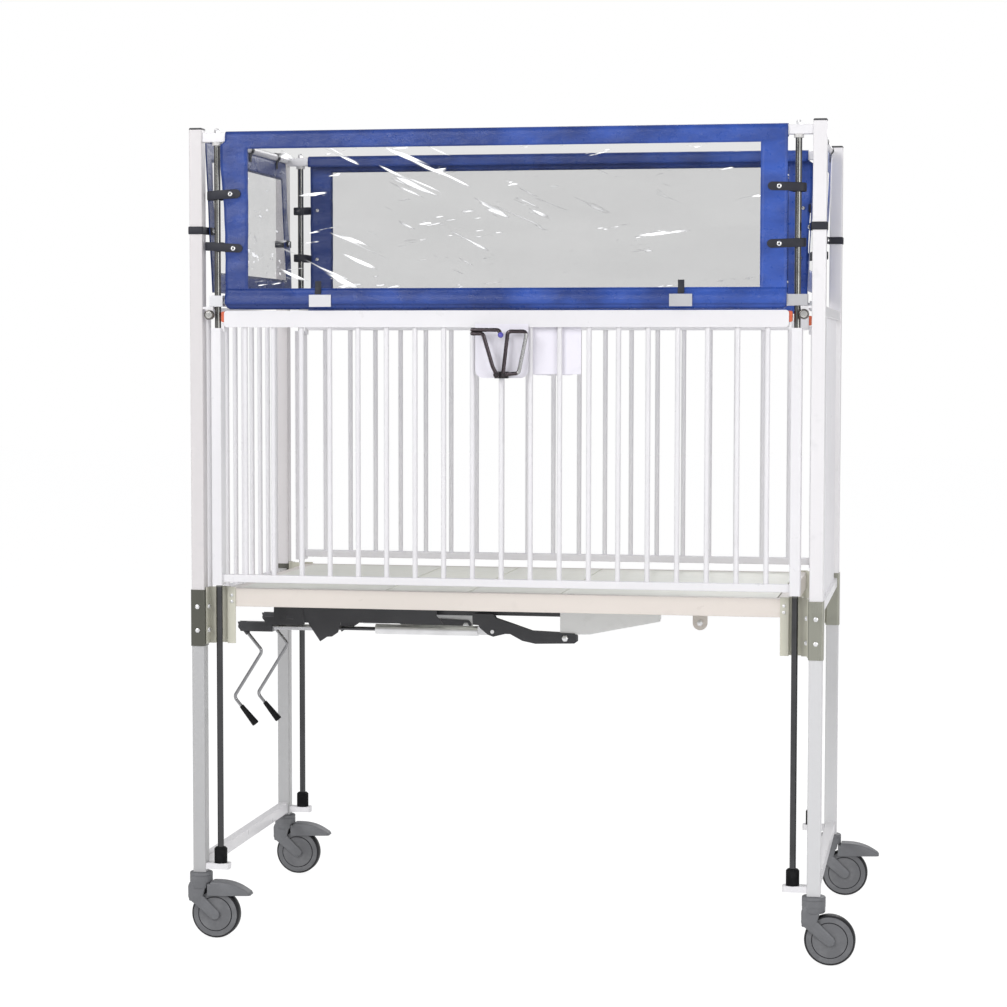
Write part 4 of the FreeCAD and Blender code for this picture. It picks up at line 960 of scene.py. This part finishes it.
def pedalForm(s):
    # a hollow fender over the wheel: sections along X, each an upturned channel with rounded top corners
    x = spaced([s["pedalStart"], 0.0301, 0.0303, 0.09, s["pedalEnd"] - 0.004, s["pedalEnd"]], 0.0035)
    share = (x - x[0]) / (x[-1] - x[0])
    droop = np.clip((x - 0.030) / (s["pedalEnd"] - 0.030), 0.0, 1.0) ** 2.6
    top = s["pedalTop"] + 0.004 * share - 0.032 * droop
    top = np.where(x < 0.0302, 0.1409, top)
    low = s["pedalLow"] + 0.0025 * share
    half = s["pedalHalf"] - 0.005 * share ** 3
    nose = np.clip((x - s["pedalEnd"] + 0.004) / 0.004, 0.0, 1.0)
    top = top - 0.002 * nose ** 2
    half = half - 0.004 * nose ** 2
    # the ceiling clears the wheel both with the pedal up and with it pressed down
    a = math.radians(s["turn"])
    dx = s["hub"][0] - s["pin"][0]
    dz = s["hub"][1] - s["pin"][1]
    pressed = (s["pin"][0] + dx * math.cos(a) - dz * math.sin(a),
               s["pin"][1] + dx * math.sin(a) + dz * math.cos(a))
    reach = s["wheelRadius"] + 0.0012
    ceiling = np.zeros_like(x)
    for cx, cz in (s["hub"], pressed):
        ceiling = np.maximum(ceiling, cz + np.sqrt(np.clip(reach ** 2 - (x - cx) ** 2, 0.0, None)))
    ceiling = np.minimum(np.maximum(ceiling, low + 0.0015), top - 0.0028)
    inner = np.minimum(0.0173, half - 0.0035)
    corner = np.minimum(0.006, (top - low) * 0.45)
    turn = np.linspace(0.0, 0.5 * math.pi, 6)
    rise = [(corner * (1 - math.cos(t)), top - corner * (1 - math.sin(t))) for t in turn]
    rows = [(-half, low)] + [(-half + y, z) for y, z in rise] + [(half - y, z) for y, z in rise[::-1]]
    rows += [(half, low), (inner, low), (inner, ceiling - 0.001), (inner - 0.001, ceiling),
             (-inner + 0.001, ceiling), (-inner, ceiling - 0.001), (-inner, low)]
    ring = np.stack([np.stack([x, y + 0 * x, z + 0 * x], -1) for y, z in rows], 1)
    return [surface(ring, wrapColumns=True)]


for name in ("front_left", "front_right", "back_left", "back_right"):
    sx = 1 if "right" in name else -1
    sy = 1 if "back" in name else -1
    place = np.array((sx * castor["post"][0], sy * castor["post"][1], 0.0))
    braked = name + "_castor_pedal" in nodes
    forms = [("fork", forkForm(castor, braked), "_castor")]
    if braked:
        forms.append(("pedal", pedalForm(castor), "_pedal"))
    for kind, form, body in forms:
        parts = [(points + place, faces) for points, faces in form]
        piece = addPiece(name.replace("_", "") + kind.capitalize(), parts, plastic["hood"], name + body,
                         sharp=40.0, closed=kind == "pedal")
        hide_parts(name + "_castor_" + kind)
print("castors done")

# Floor, light and camera

floorSizes = {"reach": 30.0, "pale": 0.86, "glow": 1.19, "glowShare": 0.75}


def stageLook(s):
    # white to the camera and in reflections, plain pale under the lamps so the shadow stays
    look = Look("pale floor")
    path = look.node("ShaderNodeLightPath")
    camera, glossy, through = (Wire(look, path.outputs[kind]) for kind in
                               ("Is Camera Ray", "Is Glossy Ray", "Is Transmission Ray"))
    seen = look.math("MAXIMUM", look.math("MAXIMUM", camera, glossy), through)
    pale = look.node("ShaderNodeBsdfDiffuse", {}, {"Color": (s["pale"], s["pale"], s["pale"], 1.0)})
    white = look.node("ShaderNodeEmission", {}, {"Color": (1.0, 1.0, 1.0, 1.0), "Strength": s["glow"]})
    mix = look.node("ShaderNodeMixShader", {}, {0: seen * s["glowShare"]})
    look.tree.links.new(pale.outputs[0], mix.inputs[1])
    look.tree.links.new(white.outputs[0], mix.inputs[2])
    look.tree.links.new(mix.outputs[0], look.output.inputs[0])
    return look.material


floorMesh = bpy.data.meshes.new("floor")
r = floorSizes["reach"]
floorMesh.from_pydata([(-r, -r, 0), (r, -r, 0), (r, r, 0), (-r, r, 0)], [], [(0, 1, 2, 3)])
floorMesh.materials.append(stageLook(floorSizes))
floor = bpy.data.objects.new("floor", floorMesh)
bpy.context.scene.collection.objects.link(floor)

# name, place, size and power of each lamp; all of them look at the crib's middle
light = {"worldGrey": 0.78, "worldLevel": 0.62, "aim": (middle, 0.0, 1.1),
         "lamps": (("key", (-3.2, -5.5, 4.2), 3.0, 210.0), ("fill", (4.2, -4.8, 2.6), 3.0, 120.0),
                   ("back", (1.0, 4.5, 3.8), 3.0, 90.0))}
world = bpy.data.worlds.new("plain room")
bpy.context.scene.world = world
world.use_nodes = True
tree = world.node_tree
tree.nodes.clear()
out = tree.nodes.new("ShaderNodeOutputWorld")
room = tree.nodes.new("ShaderNodeBackground")
room.inputs["Color"].default_value = (light["worldGrey"], light["worldGrey"], light["worldGrey"] * 1.02, 1.0)
room.inputs["Strength"].default_value = light["worldLevel"]
backdrop = tree.nodes.new("ShaderNodeBackground")
backdrop.inputs["Color"].default_value = (1.0, 1.0, 1.0, 1.0)
backdrop.inputs["Strength"].default_value = 1.0
rays = tree.nodes.new("ShaderNodeLightPath")
choose = tree.nodes.new("ShaderNodeMixShader")
either = tree.nodes.new("ShaderNodeMath")
either.operation = "MAXIMUM"
tree.links.new(rays.outputs["Is Camera Ray"], either.inputs[0])
tree.links.new(rays.outputs["Is Transmission Ray"], either.inputs[1])
tree.links.new(either.outputs[0], choose.inputs[0])
tree.links.new(room.outputs[0], choose.inputs[1])
tree.links.new(backdrop.outputs[0], choose.inputs[2])
tree.links.new(choose.outputs[0], out.inputs[0])

for name, place, size, power in light["lamps"]:
    lamp = bpy.data.lights.new(name, "AREA")
    lamp.size = size
    lamp.energy = power
    holder = bpy.data.objects.new(name, lamp)
    target = np.array(light["aim"]) - np.array(place)
    yaw = math.atan2(-target[0], target[1])
    pitch = math.atan2(target[2], math.hypot(target[0], target[1]))
    holder.matrix_world = (Matrix.Translation(place) @ Matrix.Rotation(yaw, 4, "Z")
                           @ Matrix.Rotation(math.pi / 2 + pitch, 4, "X"))
    bpy.context.scene.collection.objects.link(holder)

photo = {"place": (1.11228, -6.43665, 1.49268), "yaw": 10.391, "down": 3.467, "roll": 0.0865,
         "focal": 2478.61, "width": 1007.0}
lens = bpy.data.cameras.new("photo camera")
lens.sensor_width = 36.0
lens.lens = photo["focal"] / photo["width"] * 36.0
lens.clip_end = 200.0
camera = bpy.data.objects.new("photo camera", lens)
x, y, z = photo["place"]
camera.matrix_world = (Matrix.Translation((x + middle, y, z))
                       @ Matrix.Rotation(math.radians(photo["yaw"]), 4, "Z")
                       @ Matrix.Rotation(math.radians(90.0 - photo["down"]), 4, "X")
                       @ Matrix.Rotation(math.radians(photo["roll"]), 4, "Z"))
bpy.context.scene.collection.objects.link(camera)
bpy.context.scene.camera = camera
bpy.context.scene.view_settings.view_transform = "Standard"
print("stage ready")
